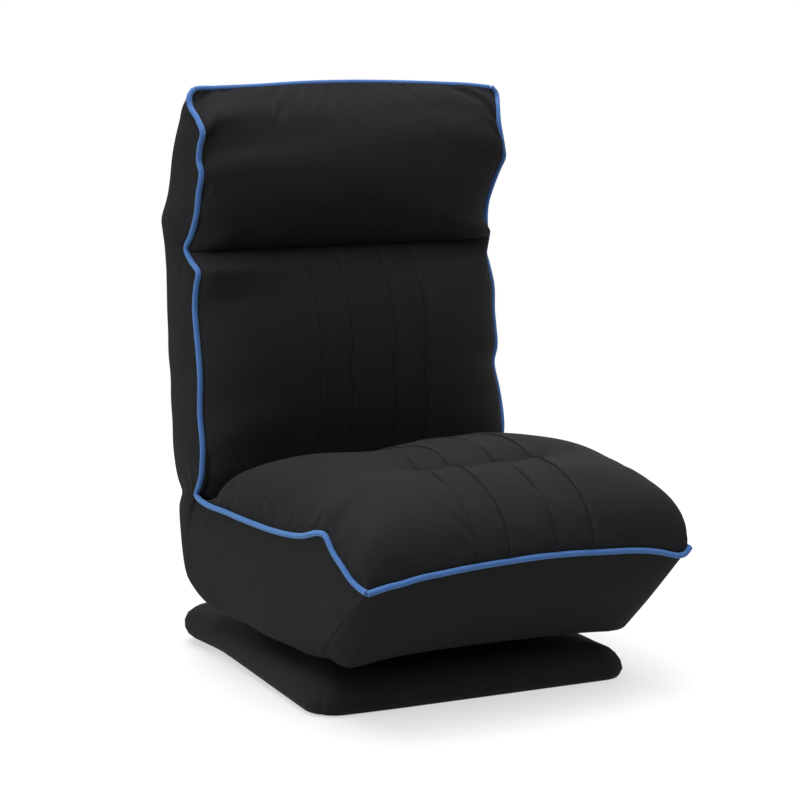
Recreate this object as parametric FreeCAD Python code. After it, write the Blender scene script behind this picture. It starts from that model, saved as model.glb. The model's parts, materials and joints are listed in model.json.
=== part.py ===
"""Floor gaming chair with a swivel base, a ratchet backrest and a ratchet headrest.

Frame: +Z up, the sitter faces -Y, origin on the floor on the swivel axis. Millimetres.

Five groups of pieces turn against each other:
  base  fabric covered foot pad, plywood board, pedestal block, lower turntable plate
  cage  ball cage and balls of the turntable, which turn at half the seat's rate
  seat  upper turntable plate, tube frame, foam block, boxing and quilted seat pad
  back  tube frame, foam slab, cover and quilted lumbar pad
  head  bent tube, foam wedge, cover and head pillow
The back's lower end is a round foam knuckle about the recline axis. It turns in a round bay in
the rear of the seat. The head's lower end is a second knuckle in a round notch of the back.
"""

import FreeCAD, Part

import math
import os

from FreeCAD import Placement, Rotation, Vector

# Seat outline
SEAT_HALF_WIDTH = 270.5  # outside of the boxing at the seam
SEAT_SIDE_TAPER = 14.5  # the boxing's bottom edge is drawn in this much on each side
SEAT_FOOT_HALF_WIDTH = SEAT_HALF_WIDTH - SEAT_SIDE_TAPER
SEAT_BOTTOM_Z = 72.0
SEAT_SEAM_Z = 238.0  # level of the piped seam along the sides
SEAT_FRONT_SEAM_Z = 211.0  # level of the piped seam at the front corners
SEAT_FRONT_RISE = 18.0  # the front seam arches up this much in the middle
SEAT_FRONT_Y = -368.0  # front of the boxing at the seam
SEAT_FRONT_FOOT_Y = -254.0  # front of the boxing at its bottom edge
SEAT_SHOULDER_Y = -235.0  # where the side seam starts to fall to the front
SEAT_CREST_Z = 321.0  # highest line of the quilted pad
SEAT_NOSE_DEPTH = 106.0  # from the front seam back to the end of the front roll
SEAT_NOSE_DROP = 29.0  # the end of the front roll lies this far under the crest
SEAT_REAR_DROP = 18.0  # the pad's rear edge lies this far under the crest
SEAT_VALLEY_Y = -85.0  # cross stitched tuft line of the pad
SEAT_VALLEY_DEPTH = 13.0
SEAT_CORNER_RADIUS = 22.0
SEAT_ROLL_SHARE = 0.6  # height of the front roll where it is roundest, of the nose's height
PAD_REST_ANGLE = 25.0  # the seat pad and the back pad meet on a face leaning this far forward
PAD_REST_GAP = 1.0
COVER = 2.0  # fabric with its lining
SEAM_GAP = 0.3  # between soft pieces that are sewn or lie together

# Quilting, the same on the seat and on the back
INNER_CHANNEL_X = 38.0
OUTER_CHANNEL_X = 99.0
CHANNEL_DEPTH = 6.0

# How the pads swell towards their sides: share of the half width, fullness there
SEAT_EDGE_SHARES = (
    (0.56, 1.0), (0.76, 1.06), (0.90, 0.98), (0.96, 0.78), (0.985, 0.56), (1.0, 0.3),
)
BACK_EDGE_SHARES = ((0.56, 0.95), (0.76, 0.80), (0.90, 0.55), (0.97, 0.28), (1.0, 0.1))
PILLOW_EDGE_SHARES = (
    (0.35, 1.0), (0.65, 0.98), (0.84, 0.88), (0.95, 0.62), (0.99, 0.34), (1.0, 0.14),
)

# Recline joint and back slab
PIVOT_Y = 134.0
PIVOT_Z = 134.0
LEAN = 4.0  # degrees from the vertical, first click of the ratchet
RECLINE_RANGE = 84.0  # degrees from the first click to the last
BACK_SIDE_STEP = 8.0  # the back and the head are this much narrower than the seat on each side
BACK_HALF_WIDTH = SEAT_HALF_WIDTH - BACK_SIDE_STEP
BACK_HALF_THICKNESS = 52.0
BACK_REAR_SWELL = 10.0  # the rear panel bulges this much between its two hinges
CHEEK_RADIUS = 104.0  # reach of the seat's side cheeks from the recline axis
BAY_CLEARANCE = 1.0
KNUCKLE_SIDE_GAP = 2.0
BACK_LUMBAR_CROWN = 52.0  # pad in front of the slab
BACK_CROWN_U = 285.0  # height of the fullest line above the recline axis
BACK_TOP_LIP = 26.0  # the slab's front lip ends this far below the head axis
BACK_BELLY_SHARE = 0.82  # fullness of the back pad where it rests on the seat pad
BACK_RISE_SHARE = 0.96  # between the belly and the crown
BACK_SHOULDER_SHARE = 0.76  # halfway from the crown to the top

# Head joint and head wedge
HEAD_PIVOT_U = 517.0  # distance from the recline axis along the back
HEAD_KNUCKLE_RADIUS = 52.0
NOTCH_CLEARANCE = 2.0
HEAD_HEIGHT = 207.0  # top of the wedge above the head axis
HEAD_APEX_V = -44.0
HEAD_SWELL_V = 51.0  # the rear is fullest here, behind the head frame's legs
HEAD_SWELL_U = 56.0
HEAD_SLOPE_V = 26.0  # the rounded upper half of the rear starts here
HEAD_SLOPE_U = 128.0
HEAD_UPPER_V = 0.0  # and passes here on its way to the top seam
HEAD_UPPER_U = 174.0
PILLOW_CROWN = 56.0
PILLOW_CROWN_U = 46.0  # height of its fullest line above the head axis
PILLOW_LOW_U = -1.5  # level of its underside
PILLOW_TOP_ARCH = 12.0
PILLOW_UNDERSIDE_SHARE = 0.4  # fullness of the pillow, from its flat underside up
PILLOW_ROLL_SHARE = 0.86
PILLOW_SLOPE_SHARE = 0.78
PILLOW_TOP_SHARE = 0.18

# Piping
PIPING_RADIUS = 4.0
PIPING_CORNER_BEND = 16.0
PIPING_SHOULDER_BEND = 120.0  # where the side seam of the seat starts to fall
PIPING_ARCH_BEND = 300.0
PIPING_RISER_BEND = 20.0  # where the head's side seam turns back to the top seam
PIPING_APEX_BEND = 10.0

# Seat frame
RAIL_RADIUS = 11.0
RAIL_Z = 100.0
RAIL_REAR_Y = 112.0
FRONT_TUBE_Y = -215.0
REAR_TUBE_Y = 62.0
TUBE_WALL = 1.5
CROSSBAR_WIDTH = 40.0
CROSSBAR_X = 75.0
STRAP_THICKNESS = 1.5
STRAP_WIDTH = 45.0
SEAT_STRAPS = 4

# Back frame
BACK_RAIL_RADIUS = 9.5
BACK_RAIL_LOW_U = 60.0
BACK_RAIL_HIGH_U = 455.0
BACK_LOW_TUBE_U = 130.0
BACK_HIGH_TUBE_U = 430.0
BACK_STRAPS = 4

# Head frame
HEAD_TUBE_RADIUS = 8.0
HEAD_FRAME_SLANT = 13.0  # degrees forward of the back's line
HEAD_TUBE_LOW_U = 46.0
HEAD_TUBE_IN_TOP = 57.0  # from the head's top down to the tube's bend
HEAD_TUBE_BEND = 40.0

# Ratchet hinges
LEAF = 2.5
GEAR = 5.8
LEAF_GAP = 0.3
HINGE_IN_FOOT = 31.0  # from the outside of the seat's foot in to the inner leaves
HINGE_IN_BACK = 37.5  # from the outside of the back in to the inner leaves
HINGE_SIDE_ROOM = 6.9  # free space beside the outer leaves
HINGE_INNER_ROOM = 22.0  # from the inner leaves in to the knuckle of the back
RECLINE_GEAR_RADIUS = 26.0  # over the tooth tips
HEAD_GEAR_RADIUS = 22.0
RECLINE_FIRST_TOOTH = 132.0  # degrees from straight back, rising over the top to the front
RECLINE_PAWL_DEG = 150.0
RECLINE_NOSE_DEG = 186.0
HEAD_FIRST_TOOTH = 170.0
HEAD_PAWL_DEG = 214.0
HEAD_NOSE_DEG = 252.0
ARM_RADIUS = 10.0  # of a leaf round its bolts
HUB_RADIUS = 20.0  # of a leaf round its rivet
TOOTH_DEPTH = 2.6
TOOTH_PITCH_DEG = 6.0
GEAR_TEETH = 24
PAWL_TIP_GAP = 0.4
PAWL_REACH = 15.0  # from the tooth tips out to the pawl's pin
PAWL_HUB_RADIUS = 6.0
SPRING_THICKNESS = 0.9
RIVET_RADIUS = 5.0
RIVET_CLEARANCE = 0.05
RIVET_HEAD_RADIUS = 9.0
RIVET_HEAD = 2.3
BOLT_RADIUS = 3.0
BOLT_HEAD_RADIUS = 5.5
BOLT_HEAD = 2.6
SEAT_LEAF_FRONT_BOLT = 11.0  # ahead of the rear cross tube
SEAT_LEAF_REAR_BOLT = 16.5  # ahead of the rail's rear end
BACK_LEAF_BOLTS = (15.0, 50.0)  # up from the lower end of the back's rail
HEAD_FIXED_BOLTS = (10.0, 40.0)  # down from the upper end of the back's rail
HEAD_LEAF_BOLTS = (8.0, 34.0)  # up from the lower end of the head tube
SLOT_PAST_BOLTS = 10.0  # a leaf's slot in the foam ends this far past the leaf's last bolt

# Turntable
PLATE_HALF = 95.0
PLATE = 2.5
PLATE_CORNER = 12.0
PLATE_GAP_CUT = 1.0  # the balls sit this deep in both grooves together
BALL_RADIUS = 4.0
BALL_CIRCLE = 64.0
BALL_COUNT = 24
GROOVE_CLEARANCE = 0.03
CAGE_THICKNESS = 2.0
CAGE_HALF_WIDTH = 7.0
PLATE_SCREW_OFFSET = 75.0  # screws of the lower plate, in a square
UPPER_BOLT_FRONT_Y = -64.0
UPPER_BOLT_REAR_Y = 53.0  # clear of the rear cross tube
PLATE_SCREW_LENGTH = 18.0
PLATE_BOLT_HEAD = 2.2
KING_PIN_RADIUS = 6.0
KING_HEAD_RADIUS = 12.0
KING_HEAD = 4.0
KING_NUT_RADIUS = 9.0
KING_NUT = 5.0

# Base
BASE_TURN = -4.3  # degrees, the base stands turned like this under the seat
BASE_HALF = 255.0
BASE_CORNER_RADIUS = 58.0
BASE_TOP_Z = 50.0
BASE_TOP_ROUND = 26.0
BASE_BOTTOM_ROUND = 15.0
BOARD_IN_BASE = 40.0  # from the outside of the base in to the board's edge
BOARD = 12.0
GLIDE_HEIGHT = 4.0
GLIDE_RADIUS = 18.0
GLIDE_IN_BOARD = 40.0  # from the board's edge in to the glides
GLIDE_NAIL_RADIUS = 1.5
GLIDE_NAIL = 8.0

X_AXIS = Vector(1, 0, 0)
Z_AXIS = Vector(0, 0, 1)
OUT_OF_THE_WAY = 600.0  # size of cutting tools that only need to reach past everything


# Places that follow from the sizes above
LEAF_INNER_X = min(SEAT_FOOT_HALF_WIDTH - HINGE_IN_FOOT, BACK_HALF_WIDTH - HINGE_IN_BACK)
GEAR_X = LEAF_INNER_X + LEAF  # the gears lie between the inner and the outer leaves
OUTER_LEAF_X = GEAR_X + GEAR + LEAF_GAP
HINGE_OUTER_X = OUTER_LEAF_X + LEAF
HINGE_BAY_OUTER_X = HINGE_OUTER_X + HINGE_SIDE_ROOM
BAY_HALF_WIDTH = LEAF_INNER_X - HINGE_INNER_ROOM
RAIL_X = LEAF_INNER_X - RAIL_RADIUS
BACK_RAIL_X = OUTER_LEAF_X - BACK_RAIL_RADIUS
HEAD_TUBE_X = LEAF_INNER_X - HEAD_TUBE_RADIUS
HEAD_TUBE_HIGH_U = HEAD_HEIGHT - HEAD_TUBE_IN_TOP
BOARD_HALF = BASE_HALF - BOARD_IN_BASE
GLIDE_OFFSET = BOARD_HALF - GLIDE_IN_BOARD


# Small helpers

def export(name, shape):
    """Writes one sub-part as its own STEP file."""
    shape.exportStep(os.path.join("parts", name + ".step"))


def box(x0, x1, y0, y1, z0, z1):
    """Box between two corners."""
    return Part.makeBox(x1 - x0, y1 - y0, z1 - z0, Vector(x0, y0, z0))


def rod(start, end, radius):
    """Solid round bar between two points."""
    along = end - start
    return Part.makeCylinder(radius, along.Length, start, along)


def tube(start, end, radius, wall=TUBE_WALL):
    """Round tube between two points."""
    return rod(start, end, radius).cut(rod(start, end, radius - wall))


def mirrored(shape):
    """The same piece on the other side of the chair."""
    return shape.mirror(Vector(0, 0, 0), X_AXIS)


def both_sides(shape):
    """A piece and its mirror image, as separate solids in one node."""
    return Part.makeCompound([shape, mirrored(shape)])


def outline(points):
    """Closed wire from a list of points in the YZ plane; a middle point in brackets makes an arc."""
    edges = []
    here = points[0]
    waiting = None
    for item in points[1:] + points[:1]:
        if isinstance(item, list):
            waiting = item[0]
            continue
        a = Vector(0, *here)
        b = Vector(0, *item)
        if waiting is None and a.isEqual(b, 1e-6):
            continue
        if waiting is None:
            edges.append(Part.LineSegment(a, b).toShape())
        else:
            edges.append(Part.Arc(a, Vector(0, *waiting), b).toShape())
        here = item
        waiting = None
    return Part.Wire(edges)


def prism(wire, x0, x1):
    """Solid with a YZ outline from x0 to x1."""
    face = Part.Face(wire)
    solid = face.extrude(Vector(x1 - x0, 0, 0))
    solid.translate(Vector(x0, 0, 0))
    return solid


def drum(y, z, radius, x0, x1):
    """Solid cylinder along X about a point of the YZ plane."""
    return Part.makeCylinder(radius, x1 - x0, Vector(x0, y, z), X_AXIS)


def tilt(shape):
    """Carries a shape from the back's own frame, upright on the recline axis, to its place."""
    placed = shape.copy()
    placed.Placement = Placement(
        Vector(0, PIVOT_Y, PIVOT_Z), Rotation(X_AXIS, -LEAN)
    ).multiply(shape.Placement)
    return placed


def back_point(v, u):
    """Point (y, z) at v behind and u along the back's centre line from the recline axis."""
    lean = math.radians(LEAN)
    return (
        PIVOT_Y + v * math.cos(lean) + u * math.sin(lean),
        PIVOT_Z - v * math.sin(lean) + u * math.cos(lean),
    )


def polar(centre, radius, degrees):
    """Point of the YZ plane at a radius and an angle from +Y towards +Z."""
    a = math.radians(degrees)
    return centre[0] + radius * math.cos(a), centre[1] + radius * math.sin(a)


def halfway(centre, a, b):
    """Point halfway along the short arc about a centre from a to b."""
    y = (a[0] + b[0]) / 2 - centre[0]
    z = (a[1] + b[1]) / 2 - centre[1]
    reach = math.dist(centre, a) / math.hypot(y, z)
    return centre[0] + y * reach, centre[1] + z * reach


def back_at_level(v, z):
    """Y of the point that lies v behind the back's centre line, at level z."""
    lean = math.radians(LEAN)
    u = (z - PIVOT_Z + v * math.sin(lean)) / math.cos(lean)
    return back_point(v, u)[0]


HEAD_AXIS = back_point(0, HEAD_PIVOT_U)
RECLINE_AXIS = (PIVOT_Y, PIVOT_Z)


# Seat soft parts

def front_seam(x):
    """Level of the seat's front seam at x: it climbs from each corner to the middle half."""
    climb = min(1.0, 2 * (1 - min(abs(x) / SEAT_HALF_WIDTH, 1.0)))
    return SEAT_FRONT_SEAM_Z + SEAT_FRONT_RISE * climb


def above_seam(gap):
    """Everything over the seam between the boxing and the seat pad, arched in front."""
    far = OUT_OF_THE_WAY
    wires = []
    for x in (-far, -SEAT_HALF_WIDTH, -SEAT_HALF_WIDTH / 2, SEAT_HALF_WIDTH / 2, SEAT_HALF_WIDTH, far):
        wire = outline([
            (-far, front_seam(x) + gap),
            (SEAT_FRONT_Y, front_seam(x) + gap),
            (SEAT_SHOULDER_Y, SEAT_SEAM_Z + gap),
            (far, SEAT_SEAM_Z + gap),
            (far, far),
            (-far, far),
        ])
        wire.translate(Vector(x, 0, 0))
        wires.append(wire)
    return Part.makeLoft(wires, True, True)


def seat_side_outline(inset, top_extra):
    """Side view of the seat block: slanted front, seam line on top, round cheek behind."""
    bottom = SEAT_BOTTOM_Z + inset
    front_top = SEAT_FRONT_SEAM_Z + SEAT_FRONT_RISE + top_extra
    slant = math.atan2(SEAT_FRONT_FOOT_Y - SEAT_FRONT_Y, SEAT_FRONT_SEAM_Z - SEAT_BOTTOM_Z)
    front_inset = inset / math.cos(slant)
    rear = PIVOT_Y + BACK_HALF_THICKNESS - inset
    cheek = CHEEK_RADIUS - inset
    rear_top = PIVOT_Z + math.sqrt(cheek**2 - (rear - PIVOT_Y) ** 2)
    clear_v = -BACK_HALF_THICKNESS - BAY_CLEARANCE - inset
    lip_z = SEAT_SEAM_Z + top_extra + COVER
    cheek_start = back_point(clear_v, math.sqrt(cheek**2 - clear_v**2))
    cheek_end = (rear, rear_top)
    heel_top = (rear, PIVOT_Z)
    heel_end = (PIVOT_Y, PIVOT_Z - (rear - PIVOT_Y))
    return outline([
        (SEAT_FRONT_FOOT_Y + front_inset + inset * math.tan(slant), bottom),
        (SEAT_FRONT_Y + front_inset, SEAT_FRONT_SEAM_Z),
        (SEAT_FRONT_Y + front_inset, front_top),
        (SEAT_SHOULDER_Y, lip_z),
        (back_at_level(clear_v, lip_z), lip_z),
        cheek_start,
        [halfway(RECLINE_AXIS, cheek_start, cheek_end)],
        cheek_end,
        heel_top,
        [halfway(RECLINE_AXIS, heel_top, heel_end)],
        heel_end,
        (PIVOT_Y - BACK_HALF_THICKNESS / 2, bottom),
    ])


def seat_taper(inset):
    """Box that widens from the seat's bottom edge to the seam, with rounded front corners."""
    rise = SEAT_SEAM_Z - SEAT_BOTTOM_Z
    widen = (SEAT_HALF_WIDTH - SEAT_FOOT_HALF_WIDTH) / rise
    front_lean = (SEAT_FRONT_FOOT_Y - SEAT_FRONT_Y) / (SEAT_FRONT_SEAM_Z - SEAT_BOTTOM_Z)
    radius = SEAT_CORNER_RADIUS - inset
    wires = []
    for z in (SEAT_BOTTOM_Z - rise / 4, SEAT_SEAM_Z + rise / 4):
        half = SEAT_FOOT_HALF_WIDTH - inset + widen * (z - SEAT_BOTTOM_Z)
        front = SEAT_FRONT_FOOT_Y + inset - front_lean * (z - SEAT_BOTTOM_Z)
        rear = PIVOT_Y + OUT_OF_THE_WAY / 4
        diagonal = radius * (1 - math.sqrt(0.5))
        left_arc = Part.Arc(
            Vector(-half, front + radius, z),
            Vector(-half + diagonal, front + diagonal, z),
            Vector(-half + radius, front, z),
        )
        right_arc = Part.Arc(
            Vector(half - radius, front, z),
            Vector(half - diagonal, front + diagonal, z),
            Vector(half, front + radius, z),
        )
        corners = [
            Vector(-half, rear, z),
            Vector(-half, front + radius, z),
            Vector(-half + radius, front, z),
            Vector(half - radius, front, z),
            Vector(half, front + radius, z),
            Vector(half, rear, z),
        ]
        wires.append(Part.Wire([
            Part.LineSegment(corners[0], corners[1]).toShape(),
            left_arc.toShape(),
            Part.LineSegment(corners[2], corners[3]).toShape(),
            right_arc.toShape(),
            Part.LineSegment(corners[4], corners[5]).toShape(),
            Part.LineSegment(corners[5], corners[0]).toShape(),
        ]))
    return Part.makeLoft(wires, True, True)


def seat_block(inset, top_extra=0.0):
    """Outer form of the seat's foam block and boxing, shrunk by inset."""
    side = prism(seat_side_outline(inset, top_extra), -OUT_OF_THE_WAY, OUT_OF_THE_WAY)
    block = side.common(seat_taper(inset))
    return block if top_extra else block.cut(above_seam(0.0))


def rear_bay():
    """Room that the back's knuckle and slab need between the cheeks."""
    clear = BACK_HALF_THICKNESS + BAY_CLEARANCE
    half = BAY_HALF_WIDTH
    round_part = drum(PIVOT_Y, PIVOT_Z, clear, -half, half)
    slab = tilt(box(-half, half, -clear, OUT_OF_THE_WAY / 4, 0, OUT_OF_THE_WAY / 4))
    behind = box(
        -half, half,
        PIVOT_Y - BACK_HALF_THICKNESS / 2, PIVOT_Y + OUT_OF_THE_WAY / 4,
        0, PIVOT_Z,
    )
    return round_part.fuse(slab).fuse(behind)


def hinge_bay(centre, radius):
    """Room for a hinge and what sweeps round it, on both sides of the chair."""
    return both_sides(drum(*centre, radius, BAY_HALF_WIDTH, HINGE_BAY_OUTER_X))


def rail_sweep():
    """Slots in the cheeks that the back's tubes and leaves swing through as the back reclines."""
    reach = OUT_OF_THE_WAY / 2
    half_slot = math.degrees(math.asin(HUB_RADIUS / BACK_HALF_THICKNESS))
    first = 90.0 - LEAN + half_slot
    last = 90.0 - LEAN - RECLINE_RANGE - half_slot
    sector = outline([
        RECLINE_AXIS,
        polar(RECLINE_AXIS, reach, first),
        polar(RECLINE_AXIS, reach, (first + last) / 2),
        polar(RECLINE_AXIS, reach, last),
    ])
    inner_x = BACK_RAIL_X - BACK_RAIL_RADIUS - 2 * COVER
    return both_sides(prism(sector, inner_x, HINGE_BAY_OUTER_X))


def seat_boxing():
    """Fabric round the seat block, open on top, at the rear bay and underneath."""
    shell = seat_block(0.0).cut(seat_block(COVER, OUT_OF_THE_WAY / 10))
    rim = 4 * RAIL_RADIUS
    window = box(
        -SEAT_FOOT_HALF_WIDTH + rim, SEAT_FOOT_HALF_WIDTH - rim,
        FRONT_TUBE_Y - RAIL_RADIUS - SEAM_GAP, REAR_TUBE_Y + RAIL_RADIUS + SEAM_GAP,
        0, SEAT_BOTTOM_Z + 2 * COVER,
    )
    return shell.cut(window).cut(rear_bay()).cut(rail_sweep())


def seat_foam(frame_channels):
    """Foam block with channels for the frame, the straps and the turntable nut."""
    block = seat_block(COVER).cut(rear_bay())
    block = block.cut(hinge_bay(RECLINE_AXIS, CHEEK_RADIUS + COVER))
    return block.cut(frame_channels)


def channel_dip(x):
    """Depth of the sewn channels at x: full on a seam, none between seams."""
    on_seam = min(abs(abs(x) - INNER_CHANNEL_X), abs(abs(x) - OUTER_CHANNEL_X)) < 1.0
    return CHANNEL_DEPTH if on_seam else 0.0


def pad_stations(half_width, edge_shares):
    """Where a quilted pad has a section across its width, and how full it is there."""
    middle = (INNER_CHANNEL_X + OUTER_CHANNEL_X) / 2
    right = [
        (0.0, 1.0),
        (INNER_CHANNEL_X / 2, 1.0),
        (INNER_CHANNEL_X, 1.0),
        (middle, 1.0),
        (OUTER_CHANNEL_X, 1.0),
    ]
    right += [(half_width * share, full) for share, full in edge_shares]
    return [(-x, full) for x, full in reversed(right[1:])] + right


def loft_across(stations, wire_at):
    """Solid through one YZ wire at each station across the width."""
    wires = []
    for x, full in stations:
        wire = wire_at(x, full)
        wire.translate(Vector(x, 0, 0))
        wires.append(wire)
    return Part.makeLoft(wires, True, False)


def corner_inset(x):
    """How far the round front corner draws the front back at x."""
    past = max(0.0, abs(x) - SEAT_HALF_WIDTH + SEAT_CORNER_RADIUS)
    return SEAT_CORNER_RADIUS - math.sqrt(SEAT_CORNER_RADIUS**2 - past**2)


def seat_pad_section(x, full):
    """Side section of the quilted seat pad: front roll, front lobe, tuft valley, rear lobe."""
    share = abs(x) / SEAT_HALF_WIDTH
    low = SEAT_SEAM_Z
    front_low = front_seam(x)
    front_top = front_low + COVER
    front = SEAT_FRONT_Y + COVER + corner_inset(x)
    crest = low + (SEAT_CREST_Z - low - channel_dip(x)) * full
    valley = (COVER + SEAT_VALLEY_DEPTH * max(0.0, 1 - share**2)) * full
    nose_y = front + SEAT_NOSE_DEPTH
    nose_z = max(crest - SEAT_NOSE_DROP * full, low + COVER)
    roll_y = front + SEAT_NOSE_DEPTH / 3
    roll_z = front_top + (nose_z - front_top) * SEAT_ROLL_SHARE
    rear_z = crest - SEAT_REAR_DROP * full
    below = low - 4 * COVER
    slope = math.tan(math.radians(PAD_REST_ANGLE))
    rear_low_y = back_at_level(-BACK_HALF_THICKNESS - PAD_REST_GAP, low) - PAD_REST_GAP
    rear_y = rear_low_y - (rear_z - low) * slope
    return outline([
        (front, front_low - 4 * COVER),
        (front, front_top),
        [(roll_y, roll_z)],
        (nose_y, nose_z),
        [((nose_y + SEAT_VALLEY_Y) / 2, crest)],
        (SEAT_VALLEY_Y, crest - valley),
        [((SEAT_VALLEY_Y + rear_y) / 2, crest)],
        (rear_y, rear_z),
        (rear_low_y + (low - below) * slope, below),
        (SEAT_SHOULDER_Y, below),
    ])


def seat_pad():
    """Quilted seat cushion with four sewn channels and a cross tuft line."""
    pad = loft_across(pad_stations(SEAT_HALF_WIDTH - SEAM_GAP, SEAT_EDGE_SHARES), seat_pad_section)
    return pad.common(above_seam(SEAM_GAP))


def dust_cloth():
    """Thin cloth under the seat, with an opening round the turntable."""
    margin = 2.5 * RAIL_RADIUS
    sheet = box(
        -SEAT_FOOT_HALF_WIDTH + margin, SEAT_FOOT_HALF_WIDTH - margin,
        SEAT_FRONT_FOOT_Y + margin, REAR_TUBE_Y + 2 * RAIL_RADIUS,
        SEAT_BOTTOM_Z - COVER / 2, SEAT_BOTTOM_Z,
    )
    opening = PLATE_HALF + 2 * BALL_RADIUS
    return sheet.cut(box(-opening, opening, -opening, opening, 0, SEAT_SEAM_Z))


def bent_cord(points, bends):
    """Cord of piping along straight runs joined by tangent arcs; bends holds one radius per corner."""
    edges = []
    start = points[0]
    for i, radius in enumerate(bends, start=1):
        corner = points[i]
        before = (points[i - 1] - corner).normalize()
        after = (points[i + 1] - corner).normalize()
        half_turn = (math.pi - before.getAngle(after)) / 2
        reach = radius * math.tan(half_turn)
        first = corner + before * reach
        last = corner + after * reach
        bisector = (before + after).normalize()
        middle = corner + bisector * (radius / math.cos(half_turn) - radius)
        edges.append(Part.LineSegment(start, first).toShape())
        edges.append(Part.Arc(first, middle, last).toShape())
        start = last
    edges.append(Part.LineSegment(start, points[-1]).toShape())
    path = Part.Wire(edges)
    ring = Part.Wire(Part.makeCircle(PIPING_RADIUS, points[0], points[1] - points[0]))
    return path.makePipeShell([ring], True, True)


def seat_piping():
    """Piping round the seat seam, from the crease on one side round the front to the other."""
    x = SEAT_HALF_WIDTH + PIPING_RADIUS + SEAM_GAP
    y = SEAT_FRONT_Y - PIPING_RADIUS - SEAM_GAP
    rear_y = PIVOT_Y - BACK_HALF_THICKNESS - PIPING_RADIUS
    middle_z = SEAT_FRONT_SEAM_Z + SEAT_FRONT_RISE
    return bent_cord(
        [
            Vector(-x, rear_y, SEAT_SEAM_Z),
            Vector(-x, SEAT_SHOULDER_Y, SEAT_SEAM_Z),
            Vector(-x, y, SEAT_FRONT_SEAM_Z),
            Vector(-x / 2, y, middle_z),
            Vector(x / 2, y, middle_z),
            Vector(x, y, SEAT_FRONT_SEAM_Z),
            Vector(x, SEAT_SHOULDER_Y, SEAT_SEAM_Z),
            Vector(x, rear_y, SEAT_SEAM_Z),
        ],
        [
            PIPING_SHOULDER_BEND, PIPING_CORNER_BEND, PIPING_ARCH_BEND,
            PIPING_ARCH_BEND, PIPING_CORNER_BEND, PIPING_SHOULDER_BEND,
        ],
    )


# Back soft parts, drawn upright about the recline axis and then tilted

def back_slab(inset, open_front, notch_clearance):
    """Knuckle between the hinges and full-width slab above the cheeks, shrunk by inset."""
    thick = BACK_HALF_THICKNESS - inset
    front = -BACK_HALF_THICKNESS - open_front
    narrow = BAY_HALF_WIDTH - KNUCKLE_SIDE_GAP - inset
    wide = BACK_HALF_WIDTH - inset
    top = HEAD_PIVOT_U
    knuckle = drum(0, 0, thick, -narrow, narrow)
    core = box(-narrow, narrow, max(front, -thick - open_front), thick, 0, top)
    slab = prism(
        outline([
            (front, 0.0),
            (thick, 0.0),
            (thick, CHEEK_RADIUS),
            [(thick + BACK_REAR_SWELL, (CHEEK_RADIUS + top) / 2)],
            (thick, top),
            (front, top),
        ]),
        -wide, wide,
    )
    slab = slab.cut(drum(0, 0, CHEEK_RADIUS + NOTCH_CLEARANCE + inset, -wide, wide))
    whole = slab.fuse(core).fuse(knuckle)
    whole = whole.cut(drum(0, top, HEAD_KNUCKLE_RADIUS + notch_clearance, -wide, wide))
    lip = box(-wide, wide, front, 0, top - BACK_TOP_LIP, top)
    return whole.cut(lip)


def back_cover():
    """Fabric over the sides, the rear and the knuckle of the back, open in front."""
    outer = back_slab(0.0, 0.0, NOTCH_CLEARANCE)
    inner = back_slab(COVER, COVER + SEAM_GAP, NOTCH_CLEARANCE + COVER)
    return tilt(outer.cut(inner))


def back_foam(channels):
    """Foam slab of the back with channels for the frame and the hinges."""
    slab = tilt(back_slab(COVER, 0.0, NOTCH_CLEARANCE + COVER))
    return slab.cut(channels)


def back_pad_section(x, full):
    """Side section of the quilted back pad: lumbar swell, then drawn in under the pillow."""
    rear = -BACK_HALF_THICKNESS - SEAM_GAP
    swell = (BACK_LUMBAR_CROWN - channel_dip(x)) * full
    low_u = SEAT_SEAM_Z - PIVOT_Z + COVER
    top_u = HEAD_PIVOT_U - BACK_TOP_LIP
    belly = BACK_BELLY_SHARE * swell
    belly_u = low_u + belly / math.tan(math.radians(PAD_REST_ANGLE + LEAN))
    shoulder_u = (BACK_CROWN_U + top_u) / 2
    return outline([
        (rear, low_u),
        (rear - belly, belly_u),
        [(rear - swell * BACK_RISE_SHARE, (belly_u + BACK_CROWN_U) / 2)],
        (rear - swell, BACK_CROWN_U),
        [(rear - swell * BACK_SHOULDER_SHARE, shoulder_u)],
        (rear - COVER, top_u - COVER),
        (rear, top_u - COVER),
    ])


def back_pad():
    """Quilted pad on the front of the back, with the same four channels as the seat."""
    stations = pad_stations(BACK_HALF_WIDTH - SEAM_GAP, BACK_EDGE_SHARES)
    return tilt(loft_across(stations, back_pad_section))


def back_piping():
    """Straight piping along one front edge of the back."""
    x = BACK_HALF_WIDTH + PIPING_RADIUS + SEAM_GAP
    v = -BACK_HALF_THICKNESS
    low = SEAT_SEAM_Z - PIVOT_Z + 2 * PIPING_RADIUS
    high = HEAD_PIVOT_U - BACK_TOP_LIP
    return tilt(rod(Vector(x, v, low), Vector(x, v, high), PIPING_RADIUS))


# Head soft parts, drawn about the head axis

def at_head(shape):
    """Carries a shape from the head's own frame to its place on the back."""
    raised = shape.copy()
    raised.translate(Vector(0, 0, HEAD_PIVOT_U))
    return tilt(raised)


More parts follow.
